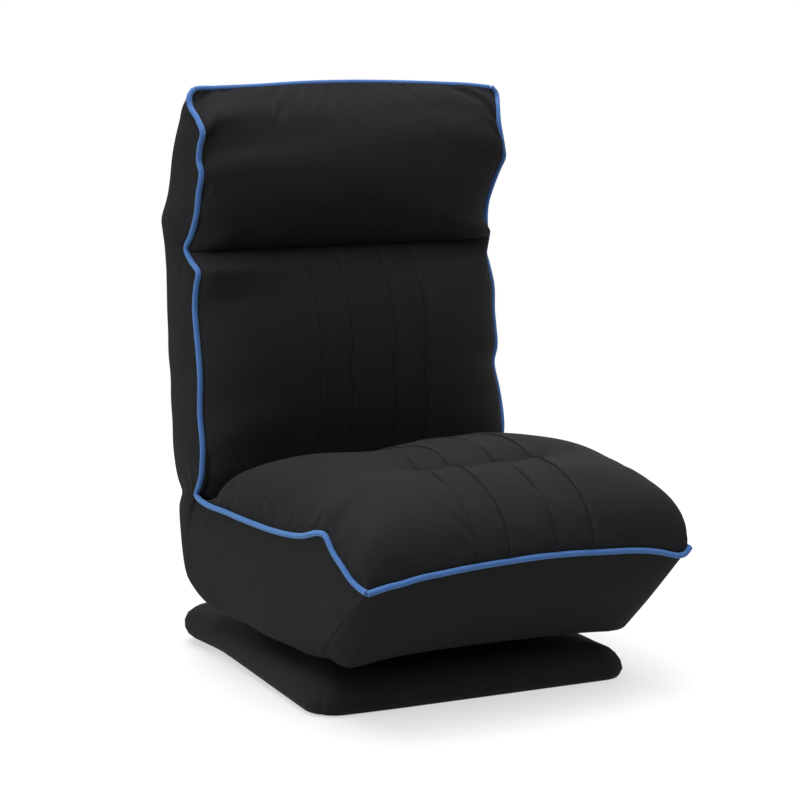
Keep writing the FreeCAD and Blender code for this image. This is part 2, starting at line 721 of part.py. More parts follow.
def head_outline(inset, open_front):
    """Side view of the head wedge: knuckle below, straight front, round rear up to the top seam."""
    radius = HEAD_KNUCKLE_RADIUS - inset
    front = -HEAD_KNUCKLE_RADIUS - open_front
    top = HEAD_HEIGHT - inset
    return outline([
        (-radius, 0.0),
        (front, 0.0),
        (front, top),
        (HEAD_APEX_V - inset, top),
        [(HEAD_UPPER_V - inset, HEAD_UPPER_U)],
        (HEAD_SLOPE_V - inset, HEAD_SLOPE_U),
        [(HEAD_SWELL_V - inset, HEAD_SWELL_U)],
        (radius, 0.0),
        [(0.0, -radius)],
    ])


def head_wedge(inset, open_front):
    """Outer form of the head section, shrunk by inset."""
    wide = BACK_HALF_WIDTH - inset
    return prism(head_outline(inset, open_front), -wide, wide)


def head_cover():
    """Fabric over the sides, the rear and the knuckle of the head section."""
    shell = head_wedge(0.0, 0.0).cut(head_wedge(COVER, COVER + SEAM_GAP))
    return at_head(shell.cut(head_hinge_room()))


def head_hinge_room():
    """Room in the head's knuckle for its hinges, open below where the back's leaves come up."""
    radius = HEAD_KNUCKLE_RADIUS - 2 * COVER
    disc = drum(0, 0, radius, BAY_HALF_WIDTH, HINGE_BAY_OUTER_X)
    mouth = box(BAY_HALF_WIDTH, HINGE_BAY_OUTER_X, -radius, radius, -OUT_OF_THE_WAY, -radius / 4)
    return both_sides(disc.fuse(mouth))


def head_foam(channels):
    """Foam wedge of the head section."""
    return at_head(head_wedge(COVER, 0.0).cut(head_hinge_room())).cut(channels)


def pillow_section(x, full):
    """Side section of the overstuffed pillow: flat underside, roll, slope up to the top seam."""
    share = abs(x) / BACK_HALF_WIDTH
    rear = -HEAD_KNUCKLE_RADIUS - SEAM_GAP
    swell = PILLOW_CROWN * full + COVER
    low = PILLOW_LOW_U
    top = HEAD_HEIGHT + COVER + PILLOW_TOP_ARCH * (1 - share**2)
    roll_u = (low + PILLOW_CROWN_U) / 3
    slope_u = (PILLOW_CROWN_U + top) / 2
    return outline([
        (rear, low),
        (rear - PILLOW_UNDERSIDE_SHARE * swell, low),
        [(rear - PILLOW_ROLL_SHARE * swell, roll_u)],
        (rear - swell, PILLOW_CROWN_U),
        [(rear - PILLOW_SLOPE_SHARE * swell, slope_u)],
        (rear - PILLOW_TOP_SHARE * swell, top - COVER),
        (rear + COVER, top),
        (rear + COVER, HEAD_HEIGHT + SEAM_GAP),
        (rear, HEAD_HEIGHT + SEAM_GAP),
    ])


def pillow_stations(half_width):
    """Sections of the pillow, which has no channels."""
    right = [(0.0, 1.0)] + [(half_width * share, full) for share, full in PILLOW_EDGE_SHARES]
    return [(-x, full) for x, full in reversed(right[1:])] + right


def head_pillow():
    """Overstuffed head pillow on the front of the head section."""
    return at_head(loft_across(pillow_stations(BACK_HALF_WIDTH - SEAM_GAP), pillow_section))


def head_piping():
    """Piping up one side of the pillow, over the top seam and down the other side."""
    x = BACK_HALF_WIDTH + PIPING_RADIUS + SEAM_GAP
    v = -HEAD_KNUCKLE_RADIUS - PIPING_RADIUS
    low = PIPING_RADIUS
    shoulder = HEAD_HEIGHT - 4 * PIPING_RADIUS
    top = HEAD_HEIGHT + PIPING_RADIUS + PILLOW_TOP_ARCH / 2
    top_v = -HEAD_KNUCKLE_RADIUS + PIPING_RADIUS + 2 * SEAM_GAP
    peak = HEAD_HEIGHT + PILLOW_TOP_ARCH + PIPING_RADIUS + COVER + SEAM_GAP
    return at_head(bent_cord(
        [
            Vector(-x, v, low),
            Vector(-x, v, shoulder - 6 * PIPING_RADIUS),
            Vector(-x, top_v, top - PIPING_RADIUS),
            Vector(-x + 3 * PIPING_RADIUS, top_v, top),
            Vector(-x / 2, top_v, peak),
            Vector(x / 2, top_v, peak),
            Vector(x - 3 * PIPING_RADIUS, top_v, top),
            Vector(x, top_v, top - PIPING_RADIUS),
            Vector(x, v, shoulder - 6 * PIPING_RADIUS),
            Vector(x, v, low),
        ],
        [
            PIPING_RISER_BEND, PIPING_APEX_BEND, PIPING_CORNER_BEND, PIPING_ARCH_BEND,
            PIPING_ARCH_BEND, PIPING_CORNER_BEND, PIPING_APEX_BEND, PIPING_RISER_BEND,
        ],
    ))


# Frame tubes

def seat_rail():
    """Side tube of the seat frame, with the two holes for its hinge leaf."""
    rail = tube(
        Vector(RAIL_X, FRONT_TUBE_Y - RAIL_RADIUS, RAIL_Z),
        Vector(RAIL_X, RAIL_REAR_Y, RAIL_Z),
        RAIL_RADIUS,
    )
    return rail.cut(bolt_shanks(seat_leaf_bolt_points(), RAIL_X, HINGE_OUTER_X))


def seat_cross_tube(y):
    """Tube across the seat between the rails."""
    reach = RAIL_X - RAIL_RADIUS
    return tube(Vector(-reach, y, RAIL_Z), Vector(reach, y, RAIL_Z), RAIL_RADIUS)


def crossbar_top():
    """Top level of the flat bars that carry the turntable under the cross tubes."""
    return RAIL_Z - RAIL_RADIUS


def swivel_crossbar():
    """Flat bar under the cross tubes, drilled for the turntable bolts."""
    bar = box(
        CROSSBAR_X - CROSSBAR_WIDTH / 2, CROSSBAR_X + CROSSBAR_WIDTH / 2,
        FRONT_TUBE_Y - RAIL_RADIUS, REAR_TUBE_Y + RAIL_RADIUS,
        SEAT_BOTTOM_Z, crossbar_top(),
    )
    bar = bar.cut(box(
        CROSSBAR_X - CROSSBAR_WIDTH / 2 + TUBE_WALL, CROSSBAR_X + CROSSBAR_WIDTH / 2 - TUBE_WALL,
        FRONT_TUBE_Y - RAIL_RADIUS, REAR_TUBE_Y + RAIL_RADIUS,
        SEAT_BOTTOM_Z + TUBE_WALL, crossbar_top() - TUBE_WALL,
    ))
    for y in (UPPER_BOLT_FRONT_Y, UPPER_BOLT_REAR_Y):
        bar = bar.cut(rod(Vector(CROSSBAR_X, y, 0), Vector(CROSSBAR_X, y, RAIL_Z), BOLT_RADIUS))
    return bar


def seat_straps():
    """Elastic straps across the seat frame, on top of the rails."""
    first = FRONT_TUBE_Y + RAIL_RADIUS + STRAP_WIDTH
    last = REAR_TUBE_Y - RAIL_RADIUS - STRAP_WIDTH
    step = (last - first) / (SEAT_STRAPS - 1)
    z = RAIL_Z + RAIL_RADIUS
    straps = []
    for i in range(SEAT_STRAPS):
        y = first + i * step
        straps.append(box(
            -RAIL_X, RAIL_X, y - STRAP_WIDTH / 2, y + STRAP_WIDTH / 2, z, z + STRAP_THICKNESS
        ))
    return Part.makeCompound(straps)


def seat_frame_channels():
    """What the seat foam is cut by to take the frame, straps, crossbars and the king nut."""
    front = FRONT_TUBE_Y - RAIL_RADIUS - SEAM_GAP
    fit = RAIL_RADIUS + SEAM_GAP
    rail = rod(Vector(RAIL_X, front, RAIL_Z), Vector(RAIL_X, PIVOT_Y, RAIL_Z), fit)
    reach = RAIL_X
    cross = [
        rod(Vector(-reach, y, RAIL_Z), Vector(reach, y, RAIL_Z), fit)
        for y in (FRONT_TUBE_Y, REAR_TUBE_Y)
    ]
    bar = box(
        CROSSBAR_X - CROSSBAR_WIDTH / 2 - SEAM_GAP, CROSSBAR_X + CROSSBAR_WIDTH / 2 + SEAM_GAP,
        front, REAR_TUBE_Y + fit, 0, crossbar_top(),
    )
    z = RAIL_Z + RAIL_RADIUS
    strap_slot = box(
        -RAIL_X - SEAM_GAP, RAIL_X + SEAM_GAP,
        FRONT_TUBE_Y, REAR_TUBE_Y, z - SEAM_GAP, z + STRAP_THICKNESS + SEAM_GAP,
    )
    nut_room = Part.makeCylinder(
        KING_HEAD_RADIUS + KING_HEAD, crossbar_top() - SEAT_BOTTOM_Z + COVER,
        Vector(0, 0, SEAT_BOTTOM_Z),
    )
    return both_sides(rail).fuse([*cross, both_sides(bar), strap_slot, nut_room])


def back_rail():
    """Side tube of the back frame, with holes for the leaves at both of its ends."""
    rail = tilt(tube(
        Vector(BACK_RAIL_X, 0, BACK_RAIL_LOW_U),
        Vector(BACK_RAIL_X, 0, BACK_RAIL_HIGH_U),
        BACK_RAIL_RADIUS,
    ))
    points = back_leaf_bolt_points() + head_fixed_bolt_points()
    return rail.cut(bolt_shanks(points, BACK_RAIL_X, HINGE_OUTER_X))


def back_cross_tube(u):
    """Tube across the back between the rails."""
    reach = BACK_RAIL_X - BACK_RAIL_RADIUS
    return tilt(tube(Vector(-reach, 0, u), Vector(reach, 0, u), BACK_RAIL_RADIUS))


def back_straps():
    """Elastic straps across the back frame, in front of the rails."""
    first = BACK_LOW_TUBE_U + BACK_RAIL_RADIUS + STRAP_WIDTH
    last = BACK_HIGH_TUBE_U - BACK_RAIL_RADIUS - STRAP_WIDTH
    step = (last - first) / (BACK_STRAPS - 1)
    front = -BACK_RAIL_RADIUS - STRAP_THICKNESS
    straps = []
    for i in range(BACK_STRAPS):
        u = first + i * step
        straps.append(tilt(box(
            -BACK_RAIL_X, BACK_RAIL_X, front, -BACK_RAIL_RADIUS,
            u - STRAP_WIDTH / 2, u + STRAP_WIDTH / 2,
        )))
    return Part.makeCompound(straps)


def leaf_slots():
    """Slots through which the hinge leaves leave the back at both of its ends."""
    half = ARM_RADIUS + 2 * COVER
    low_end = BACK_RAIL_LOW_U + BACK_LEAF_BOLTS[1] + SLOT_PAST_BOLTS
    high_end = BACK_RAIL_HIGH_U - HEAD_FIXED_BOLTS[1] - 2 * SLOT_PAST_BOLTS
    low = box(GEAR_X, HINGE_BAY_OUTER_X, -half, half, 0, low_end)
    high = box(GEAR_X, HINGE_BAY_OUTER_X, -half, half, high_end, HEAD_PIVOT_U)
    return tilt(both_sides(low).fuse(both_sides(high)))


def back_rail_channels():
    """Bores for the back's side tubes."""
    low = Vector(BACK_RAIL_X, 0, 0)
    high = Vector(BACK_RAIL_X, 0, BACK_RAIL_HIGH_U + SEAM_GAP)
    return tilt(both_sides(rod(low, high, BACK_RAIL_RADIUS + SEAM_GAP)))


def back_frame_channels():
    """What the back's foam is cut by to take rails, cross tubes, straps and hinge leaves."""
    fit = BACK_RAIL_RADIUS + SEAM_GAP
    cross = [
        rod(Vector(-BACK_RAIL_X, 0, u), Vector(BACK_RAIL_X, 0, u), fit)
        for u in (BACK_LOW_TUBE_U, BACK_HIGH_TUBE_U)
    ]
    strap_slot = box(
        -BACK_RAIL_X - SEAM_GAP, BACK_RAIL_X + SEAM_GAP,
        -BACK_RAIL_RADIUS - STRAP_THICKNESS - SEAM_GAP, -BACK_RAIL_RADIUS + SEAM_GAP,
        BACK_LOW_TUBE_U, BACK_HIGH_TUBE_U,
    )
    across = tilt(strap_slot.fuse(cross))
    return across.fuse([back_rail_channels(), leaf_slots()])


def slanted(shape):
    """Leans a piece of the head frame forward about the head axis."""
    leaned = shape.copy()
    leaned.rotate(Vector(0, 0, 0), X_AXIS, HEAD_FRAME_SLANT)
    return leaned


def head_frame_path(grow):
    """Centre line of the bent head tube in its own plane."""
    x = HEAD_TUBE_X
    bend = HEAD_TUBE_BEND
    high = HEAD_TUBE_HIGH_U
    corner = bend * (1 - math.sqrt(0.5))
    low = HEAD_TUBE_LOW_U - grow
    edges = [
        Part.LineSegment(Vector(-x, 0, low), Vector(-x, 0, high - bend)).toShape(),
        Part.Arc(
            Vector(-x, 0, high - bend),
            Vector(-x + corner, 0, high - corner),
            Vector(-x + bend, 0, high),
        ).toShape(),
        Part.LineSegment(Vector(-x + bend, 0, high), Vector(x - bend, 0, high)).toShape(),
        Part.Arc(
            Vector(x - bend, 0, high),
            Vector(x - corner, 0, high - corner),
            Vector(x, 0, high - bend),
        ).toShape(),
        Part.LineSegment(Vector(x, 0, high - bend), Vector(x, 0, low)).toShape(),
    ]
    return Part.Wire(edges)


def head_bar(radius, grow=0.0):
    """Round bar bent like the head frame."""
    path = head_frame_path(grow)
    start = Vector(-HEAD_TUBE_X, 0, HEAD_TUBE_LOW_U - grow)
    ring = Part.Wire(Part.makeCircle(radius, start, Z_AXIS))
    return path.makePipeShell([ring], True, True)


def head_frame():
    """Bent tube of the headrest with the holes for its hinge leaves."""
    hollow = head_bar(HEAD_TUBE_RADIUS).cut(head_bar(HEAD_TUBE_RADIUS - TUBE_WALL))
    placed = at_head(slanted(hollow))
    shanks = bolt_shanks(head_leaf_bolt_points(), HEAD_TUBE_X, HINGE_OUTER_X)
    return placed.cut(both_sides(shanks))


def head_frame_channels():
    """What the head's foam is cut by to take its tube and leaves."""
    half = ARM_RADIUS + COVER
    end = HEAD_TUBE_LOW_U + HEAD_LEAF_BOLTS[1] + SLOT_PAST_BOLTS + 3 * COVER
    leaf = box(LEAF_INNER_X - COVER, HINGE_BAY_OUTER_X, -half, half, 0, end)
    bar = slanted(head_bar(HEAD_TUBE_RADIUS + SEAM_GAP, HEAD_TUBE_RADIUS))
    return at_head(bar.fuse(slanted(both_sides(leaf))))


# Ratchet hinges

def link_plate(stations, x0, thickness):
    """Stamped leaf: a disc at each (y, z, radius) joined by tangent webs."""
    pieces = []
    for y, z, radius in stations:
        pieces.append(drum(y, z, radius, x0, x0 + thickness))
    for (y0, z0, r0), (y1, z1, r1) in zip(stations, stations[1:]):
        along = math.atan2(z1 - z0, y1 - y0)
        span = math.hypot(y1 - y0, z1 - z0)
        turn = math.acos((r0 - r1) / span)
        corners = []
        for y, z, r, side in ((y0, z0, r0, 1), (y1, z1, r1, 1), (y1, z1, r1, -1), (y0, z0, r0, -1)):
            angle = along + side * turn
            corners.append((y + r * math.cos(angle), z + r * math.sin(angle)))
        pieces.append(prism(outline(corners), x0, x0 + thickness))
    return pieces[0].fuse(pieces[1:]).removeSplitter()


def ratchet_gear(centre, tip, first_deg, x0):
    """Toothed quadrant in the gear layer: saw teeth on one sector, plain disc elsewhere."""
    root = tip - TOOTH_DEPTH
    points = []
    for i in range(GEAR_TEETH):
        start = first_deg + i * TOOTH_PITCH_DEG
        points.append(polar(centre, root, start))
        points.append(polar(centre, tip, start + TOOTH_PITCH_DEG * 0.25))
        points.append(polar(centre, tip, start + TOOTH_PITCH_DEG * 0.45))
    last = first_deg + GEAR_TEETH * TOOTH_PITCH_DEG
    points.append(polar(centre, root, last))
    points.append([polar(centre, root, (last + first_deg + 360.0) / 2)])
    wire = outline(points)
    bore = drum(*centre, RIVET_RADIUS + RIVET_CLEARANCE, x0, x0 + GEAR)
    return prism(wire, x0, x0 + GEAR).cut(bore)


def pawl(centre, tip, pivot_deg, nose_deg, x0):
    """Lever that reaches round the gear; its nose stands just clear of the tooth tips."""
    pivot = polar(centre, tip + PAWL_REACH, pivot_deg)
    middle_deg = (pivot_deg + nose_deg) / 2
    x1 = x0 + GEAR
    arm = prism(
        outline([
            polar(centre, tip + PAWL_TIP_GAP, nose_deg),
            polar(centre, tip + PAWL_REACH - PAWL_HUB_RADIUS, middle_deg),
            pivot,
            polar(centre, tip + PAWL_REACH, middle_deg),
            polar(centre, tip + PAWL_HUB_RADIUS, nose_deg),
        ]),
        x0, x1,
    )
    hub = drum(*pivot, PAWL_HUB_RADIUS, x0, x1)
    pin_hole = drum(*pivot, BOLT_RADIUS + RIVET_CLEARANCE, x0, x1)
    return arm.fuse(hub).cut(pin_hole).removeSplitter()


def pawl_spring(centre, tip, pivot_deg, away, x0):
    """Leaf spring that bears on the pawl's hub and is held on the leaf beside it."""
    pivot = polar(centre, tip + PAWL_REACH, pivot_deg)
    near = PAWL_HUB_RADIUS + RIVET_CLEARANCE
    far = near + SPRING_THICKNESS
    bend_deg = pivot_deg + away * 50.0
    end_deg = pivot_deg + away * 100.0
    return prism(
        outline([
            polar(pivot, near, pivot_deg),
            [polar(pivot, near, bend_deg)],
            polar(pivot, near, end_deg),
            polar(pivot, far, end_deg),
            [polar(pivot, far, bend_deg)],
            polar(pivot, far, pivot_deg),
        ]),
        x0, x0 + GEAR,
    )


def rivet(centre, x0, x1, fixed_low):
    """Riveted pivot pin; its shank fills the fixed leaf and clears the moving pieces."""
    shank = drum(*centre, RIVET_RADIUS, x0, x1)
    low_gap = 0.0 if fixed_low else LEAF_GAP
    high_gap = LEAF_GAP if fixed_low else 0.0
    low_head = drum(*centre, RIVET_HEAD_RADIUS, x0 - RIVET_HEAD - low_gap, x0 - low_gap)
    high_head = drum(*centre, RIVET_HEAD_RADIUS, x1 + high_gap, x1 + high_gap + RIVET_HEAD)
    stub = drum(*centre, RIVET_RADIUS, x0 - low_gap, x1 + high_gap)
    return shank.fuse([low_head, high_head, stub]).removeSplitter()


def bolt_shanks(points, x0, x1):
    """Bars along X used to drill holes for leaf bolts."""
    return Part.makeCompound([drum(*p, BOLT_RADIUS, x0, x1) for p in points])


def leaf_bolts(points, point_x, head_x):
    """Button head bolts through a leaf into a tube wall, on both sides."""
    bolts = []
    for p in points:
        shank = drum(*p, BOLT_RADIUS, point_x, head_x)
        head = drum(*p, BOLT_HEAD_RADIUS, head_x, head_x + BOLT_HEAD)
        bolts.append(shank.fuse(head).removeSplitter())
    return both_sides(Part.makeCompound(bolts))


def seat_leaf_bolt_points():
    """Bolt places on the seat rail."""
    return [
        (REAR_TUBE_Y - SEAT_LEAF_FRONT_BOLT, RAIL_Z),
        (RAIL_REAR_Y - SEAT_LEAF_REAR_BOLT, RAIL_Z),
    ]


def back_leaf_bolt_points():
    """Bolt places at the lower end of the back rail."""
    return [back_point(0, BACK_RAIL_LOW_U + up) for up in BACK_LEAF_BOLTS]


def head_fixed_bolt_points():
    """Bolt places at the upper end of the back rail."""
    return [back_point(0, BACK_RAIL_HIGH_U - down) for down in HEAD_FIXED_BOLTS]


def head_leaf_bolt_points():
    """Bolt places on the legs of the head tube."""
    slant = LEAN - HEAD_FRAME_SLANT
    return [polar(HEAD_AXIS, HEAD_TUBE_LOW_U + up, 90.0 - slant) for up in HEAD_LEAF_BOLTS]


def drilled(plate, bolt_points, centre, bore):
    """Leaf with its bolt holes and pivot hole."""
    reach = OUT_OF_THE_WAY / 2
    return plate.cut(bolt_shanks(bolt_points, 0, reach)).cut(drum(*centre, bore, 0, reach))


def recline_seat_leaf():
    """Leaf bolted to the seat rail; it carries the pivot rivet and the pawl."""
    pin = polar(RECLINE_AXIS, RECLINE_GEAR_RADIUS + PAWL_REACH, RECLINE_PAWL_DEG)
    bolts = seat_leaf_bolt_points()
    stations = [
        (*pin, ARM_RADIUS), (*RECLINE_AXIS, HUB_RADIUS),
        (*bolts[1], ARM_RADIUS), (*bolts[0], ARM_RADIUS),
    ]
    plate = link_plate(stations[1:], LEAF_INNER_X, LEAF)
    plate = plate.fuse(link_plate(stations[:2], LEAF_INNER_X, LEAF)).removeSplitter()
    plate = plate.cut(drum(*pin, BOLT_RADIUS, 0, OUT_OF_THE_WAY))
    return drilled(plate, bolts, RECLINE_AXIS, RIVET_RADIUS)


def recline_back_leaf():
    """Leaf bolted to the back rail."""
    bolts = back_leaf_bolt_points()
    plate = link_plate(
        [(*RECLINE_AXIS, HUB_RADIUS), (*bolts[0], ARM_RADIUS), (*bolts[1], ARM_RADIUS)],
        OUTER_LEAF_X, LEAF,
    )
    return drilled(plate, bolts, RECLINE_AXIS, RIVET_RADIUS + RIVET_CLEARANCE)


def head_back_leaf():
    """Leaf bolted to the top of the back rail; it carries the head's rivet and pawl."""
    pin = polar(HEAD_AXIS, HEAD_GEAR_RADIUS + PAWL_REACH, HEAD_PAWL_DEG)
    bolts = head_fixed_bolt_points()
    plate = link_plate(
        [(*HEAD_AXIS, HUB_RADIUS), (*bolts[0], ARM_RADIUS), (*bolts[1], ARM_RADIUS)],
        OUTER_LEAF_X, LEAF,
    )
    ear = link_plate(
        [(*HEAD_AXIS, HUB_RADIUS), (*pin, ARM_RADIUS)], OUTER_LEAF_X, LEAF
    )
    plate = plate.fuse(ear).removeSplitter().cut(drum(*pin, BOLT_RADIUS, 0, OUT_OF_THE_WAY))
    return drilled(plate, bolts, HEAD_AXIS, RIVET_RADIUS)


def head_leaf():
    """Leaf bolted to the leg of the head tube."""
    bolts = head_leaf_bolt_points()
    plate = link_plate(
        [(*HEAD_AXIS, HUB_RADIUS), (*bolts[0], ARM_RADIUS), (*bolts[1], ARM_RADIUS)],
        LEAF_INNER_X, LEAF,
    )
    return drilled(plate, bolts, HEAD_AXIS, RIVET_RADIUS + RIVET_CLEARANCE)


def pawl_pin(centre, tip, pivot_deg, x0, x1):
    """Small rivet that a pawl swings on."""
    place = polar(centre, tip + PAWL_REACH, pivot_deg)
    return drum(*place, BOLT_RADIUS, x0, x1)


# Turntable and base

def rounded_plate(half, corner, z0, z1):
    """Square plate with rounded corners."""
    plate = box(-half, half, -half, half, z0, z1)
    upright = [e for e in plate.Edges if abs(e.tangentAt(e.FirstParameter).z) > 0.5]
    return plate.makeFillet(corner, upright)


def turned(shape):
    """Turns a base piece to the angle at which the base stands under the seat."""
    placed = shape.copy()
    placed.rotate(Vector(0, 0, 0), Z_AXIS, BASE_TURN)
    return placed


def turntable_height():
    """Both plates with the balls between them."""
    return 2 * PLATE + 2 * BALL_RADIUS - PLATE_GAP_CUT


def lower_plate_z():
    """Underside of the lower turntable plate."""
    return SEAT_BOTTOM_Z - turntable_height()


def ball_z():
    """Level of the ball centres."""
    return lower_plate_z() + turntable_height() / 2


def ball_groove():
    """Ring that both plates are cut by to guide the balls."""
    return Part.makeTorus(BALL_CIRCLE, BALL_RADIUS + GROOVE_CLEARANCE, Vector(0, 0, ball_z()))


def corner_points(offset):
    """Four corners of a square pattern."""
    return [(sx * offset, sy * offset) for sx in (-1, 1) for sy in (-1, 1)]


def upper_bolt_points():
    """Bolts of the upper plate, in the crossbars."""
    return [
        (sx * CROSSBAR_X, y)
        for sx in (-1, 1)
        for y in (UPPER_BOLT_FRONT_Y, UPPER_BOLT_REAR_Y)
    ]


def upper_plate():
    """Turntable plate bolted under the seat frame."""
    z1 = SEAT_BOTTOM_Z - COVER / 2
    plate = rounded_plate(PLATE_HALF, PLATE_CORNER, SEAT_BOTTOM_Z - PLATE, SEAT_BOTTOM_Z)
    plate = plate.cut(ball_groove())
    plate = plate.cut(Part.makeCylinder(KING_PIN_RADIUS + RIVET_CLEARANCE, z1, Vector(0, 0, PLATE)))
    for x, y in upper_bolt_points():
        plate = plate.cut(Part.makeCylinder(BOLT_RADIUS, OUT_OF_THE_WAY, Vector(x, y, 0)))
    return plate


def lower_plate():
    """Turntable plate screwed on the pedestal."""
    z = lower_plate_z()
    plate = rounded_plate(PLATE_HALF, PLATE_CORNER, z, z + PLATE).cut(ball_groove())
    plate = plate.cut(Part.makeCylinder(KING_PIN_RADIUS, OUT_OF_THE_WAY, Vector(0, 0, 0)))
    for x, y in corner_points(PLATE_SCREW_OFFSET):
        plate = plate.cut(Part.makeCylinder(BOLT_RADIUS, OUT_OF_THE_WAY, Vector(x, y, 0)))
    return turned(plate)


def upright_bolt(x, y, head_z, point_z, head_up):
    """Bolt along Z with its head at head_z and its point at point_z."""
    length = abs(point_z - head_z)
    shank = Part.makeCylinder(BOLT_RADIUS, length, Vector(x, y, min(head_z, point_z)))
    low = head_z if head_up else head_z - PLATE_BOLT_HEAD
    head = Part.makeCylinder(BOLT_HEAD_RADIUS, PLATE_BOLT_HEAD, Vector(x, y, low))
    return shank.fuse(head).removeSplitter()


def upper_bolts():
    """Bolts from below through the upper plate into the crossbars."""
    return Part.makeCompound([
        upright_bolt(x, y, SEAT_BOTTOM_Z - PLATE, crossbar_top(), False)
        for x, y in upper_bolt_points()
    ])


def lower_screws():
    """Screws from above through the lower plate into the pedestal."""
    z = lower_plate_z()
    screws = [
        upright_bolt(x, y, z + PLATE, z - PLATE_SCREW_LENGTH, True)
        for x, y in corner_points(PLATE_SCREW_OFFSET)
    ]
    return turned(Part.makeCompound(screws))


def ball_places():
    """Centres of the balls on their circle."""
    step = 2 * math.pi / BALL_COUNT
    return [
        Vector(BALL_CIRCLE * math.cos(i * step), BALL_CIRCLE * math.sin(i * step), ball_z())
        for i in range(BALL_COUNT)
    ]


def bearing_balls():
    """Steel balls of the turntable."""
    return Part.makeCompound([Part.makeSphere(BALL_RADIUS, p) for p in ball_places()])


def ball_cage():
    """Flat ring that spaces the balls."""
    z = ball_z() - CAGE_THICKNESS / 2
    ring = Part.makeCylinder(BALL_CIRCLE + CAGE_HALF_WIDTH, CAGE_THICKNESS, Vector(0, 0, z))
    ring = ring.cut(Part.makeCylinder(BALL_CIRCLE - CAGE_HALF_WIDTH, CAGE_THICKNESS, Vector(0, 0, z)))
    for p in ball_places():
        hole = Part.makeCylinder(
            BALL_RADIUS + 2 * GROOVE_CLEARANCE, CAGE_THICKNESS, Vector(p.x, p.y, z)
        )
        ring = ring.cut(hole)
    return ring


def king_pin():
    """Bolt that holds the two plates together, fixed in the lower one."""
    z = lower_plate_z()
    top = SEAT_BOTTOM_Z + LEAF_GAP + KING_NUT
    shank = Part.makeCylinder(KING_PIN_RADIUS, top - z, Vector(0, 0, z))
    head = Part.makeCylinder(KING_HEAD_RADIUS, KING_HEAD, Vector(0, 0, z - KING_HEAD))
    return shank.fuse(head).removeSplitter()


def king_nut():
    """Lock nut on the king pin, just clear of the upper plate."""
    z = SEAT_BOTTOM_Z + LEAF_GAP
    hexagon = Part.makePolygon([
        Vector(
            KING_NUT_RADIUS * math.cos(math.radians(60 * i)),
            KING_NUT_RADIUS * math.sin(math.radians(60 * i)),
            z,
        )
        for i in range(7)
    ])
    nut = Part.Face(hexagon).extrude(Vector(0, 0, KING_NUT))
    return nut.cut(Part.makeCylinder(KING_PIN_RADIUS, OUT_OF_THE_WAY, Vector(0, 0, 0)))


def base_form(inset):
    """Outer form of the padded base, shrunk by inset."""
    low = GLIDE_HEIGHT + inset
    high = BASE_TOP_Z - inset
    body = rounded_plate(BASE_HALF - inset, BASE_CORNER_RADIUS - inset, low, high)
    top_edges = [e for e in body.Edges if all(abs(v.Z - high) < 0.01 for v in e.Vertexes)]
    body = body.makeFillet(BASE_TOP_ROUND - inset, top_edges)
    low_edges = [e for e in body.Edges if all(abs(v.Z - low) < 0.01 for v in e.Vertexes)]
    return body.makeFillet(BASE_BOTTOM_ROUND - inset, low_edges)


def glide_places():
    """Four glides near the corners and one in the middle."""
    return [(0.0, 0.0)] + corner_points(GLIDE_OFFSET)


def nail_holes():
    """Bars that drill the cover and the board for the glide nails."""
    return [
        Part.makeCylinder(GLIDE_NAIL_RADIUS, GLIDE_NAIL, Vector(x, y, GLIDE_HEIGHT))
        for x, y in glide_places()
    ]


def pedestal_form():
    """Square block between board and turntable."""
    return rounded_plate(
        PLATE_HALF, PLATE_CORNER, GLIDE_HEIGHT + COVER + BOARD, lower_plate_z()
    )


def base_cover():
    """Fabric shell of the base, open round the pedestal."""
    shell = base_form(0.0).cut(base_form(COVER)).cut(pedestal_form())
    return turned(shell.cut(nail_holes()))


def base_board():
    """Plywood board in the bottom of the base."""
    low = GLIDE_HEIGHT + COVER
    board = rounded_plate(BOARD_HALF, BASE_CORNER_RADIUS / 2, low, low + BOARD)
    return turned(board.cut(nail_holes()))


def base_foam():
    """Foam round the board and the pedestal."""
    low = GLIDE_HEIGHT + COVER
    foam = base_form(COVER)
    foam = foam.cut(rounded_plate(BOARD_HALF, BASE_CORNER_RADIUS / 2, low - 1, low + BOARD))
    return turned(foam.cut(pedestal_form()))


def pedestal():
    """Plywood block with a pocket for the king pin's head and holes for the screws."""
    z = lower_plate_z()
    block = pedestal_form()
    block = block.cut(
        Part.makeCylinder(KING_HEAD_RADIUS, KING_HEAD, Vector(0, 0, z - KING_HEAD))
    )
    for x, y in corner_points(PLATE_SCREW_OFFSET):
        hole = Part.makeCylinder(BOLT_RADIUS, PLATE_SCREW_LENGTH, Vector(x, y, z - PLATE_SCREW_LENGTH))
        block = block.cut(hole)
    return turned(block)


def base_glides():
    """Nail-on plastic glides."""
    glides = []
    for x, y in glide_places():
        disc = Part.makeCylinder(GLIDE_RADIUS, GLIDE_HEIGHT, Vector(x, y, 0))
        nail = Part.makeCylinder(GLIDE_NAIL_RADIUS, GLIDE_NAIL, Vector(x, y, GLIDE_HEIGHT))
        glides.append(disc.fuse(nail))
    return turned(Part.makeCompound(glides))


def export_base():
    export("base_cover", base_cover())
    export("base_board", base_board())
    export("base_foam", base_foam())
    export("base_pedestal", pedestal())
    export("base_glides", base_glides())
    export("turntable_lower_plate", lower_plate())
    export("turntable_lower_screws", lower_screws())
    export("turntable_king_pin", turned(king_pin()))
    export("turntable_king_nut", turned(king_nut()))
    export("turntable_ball_cage", ball_cage())
    export("turntable_balls", bearing_balls())


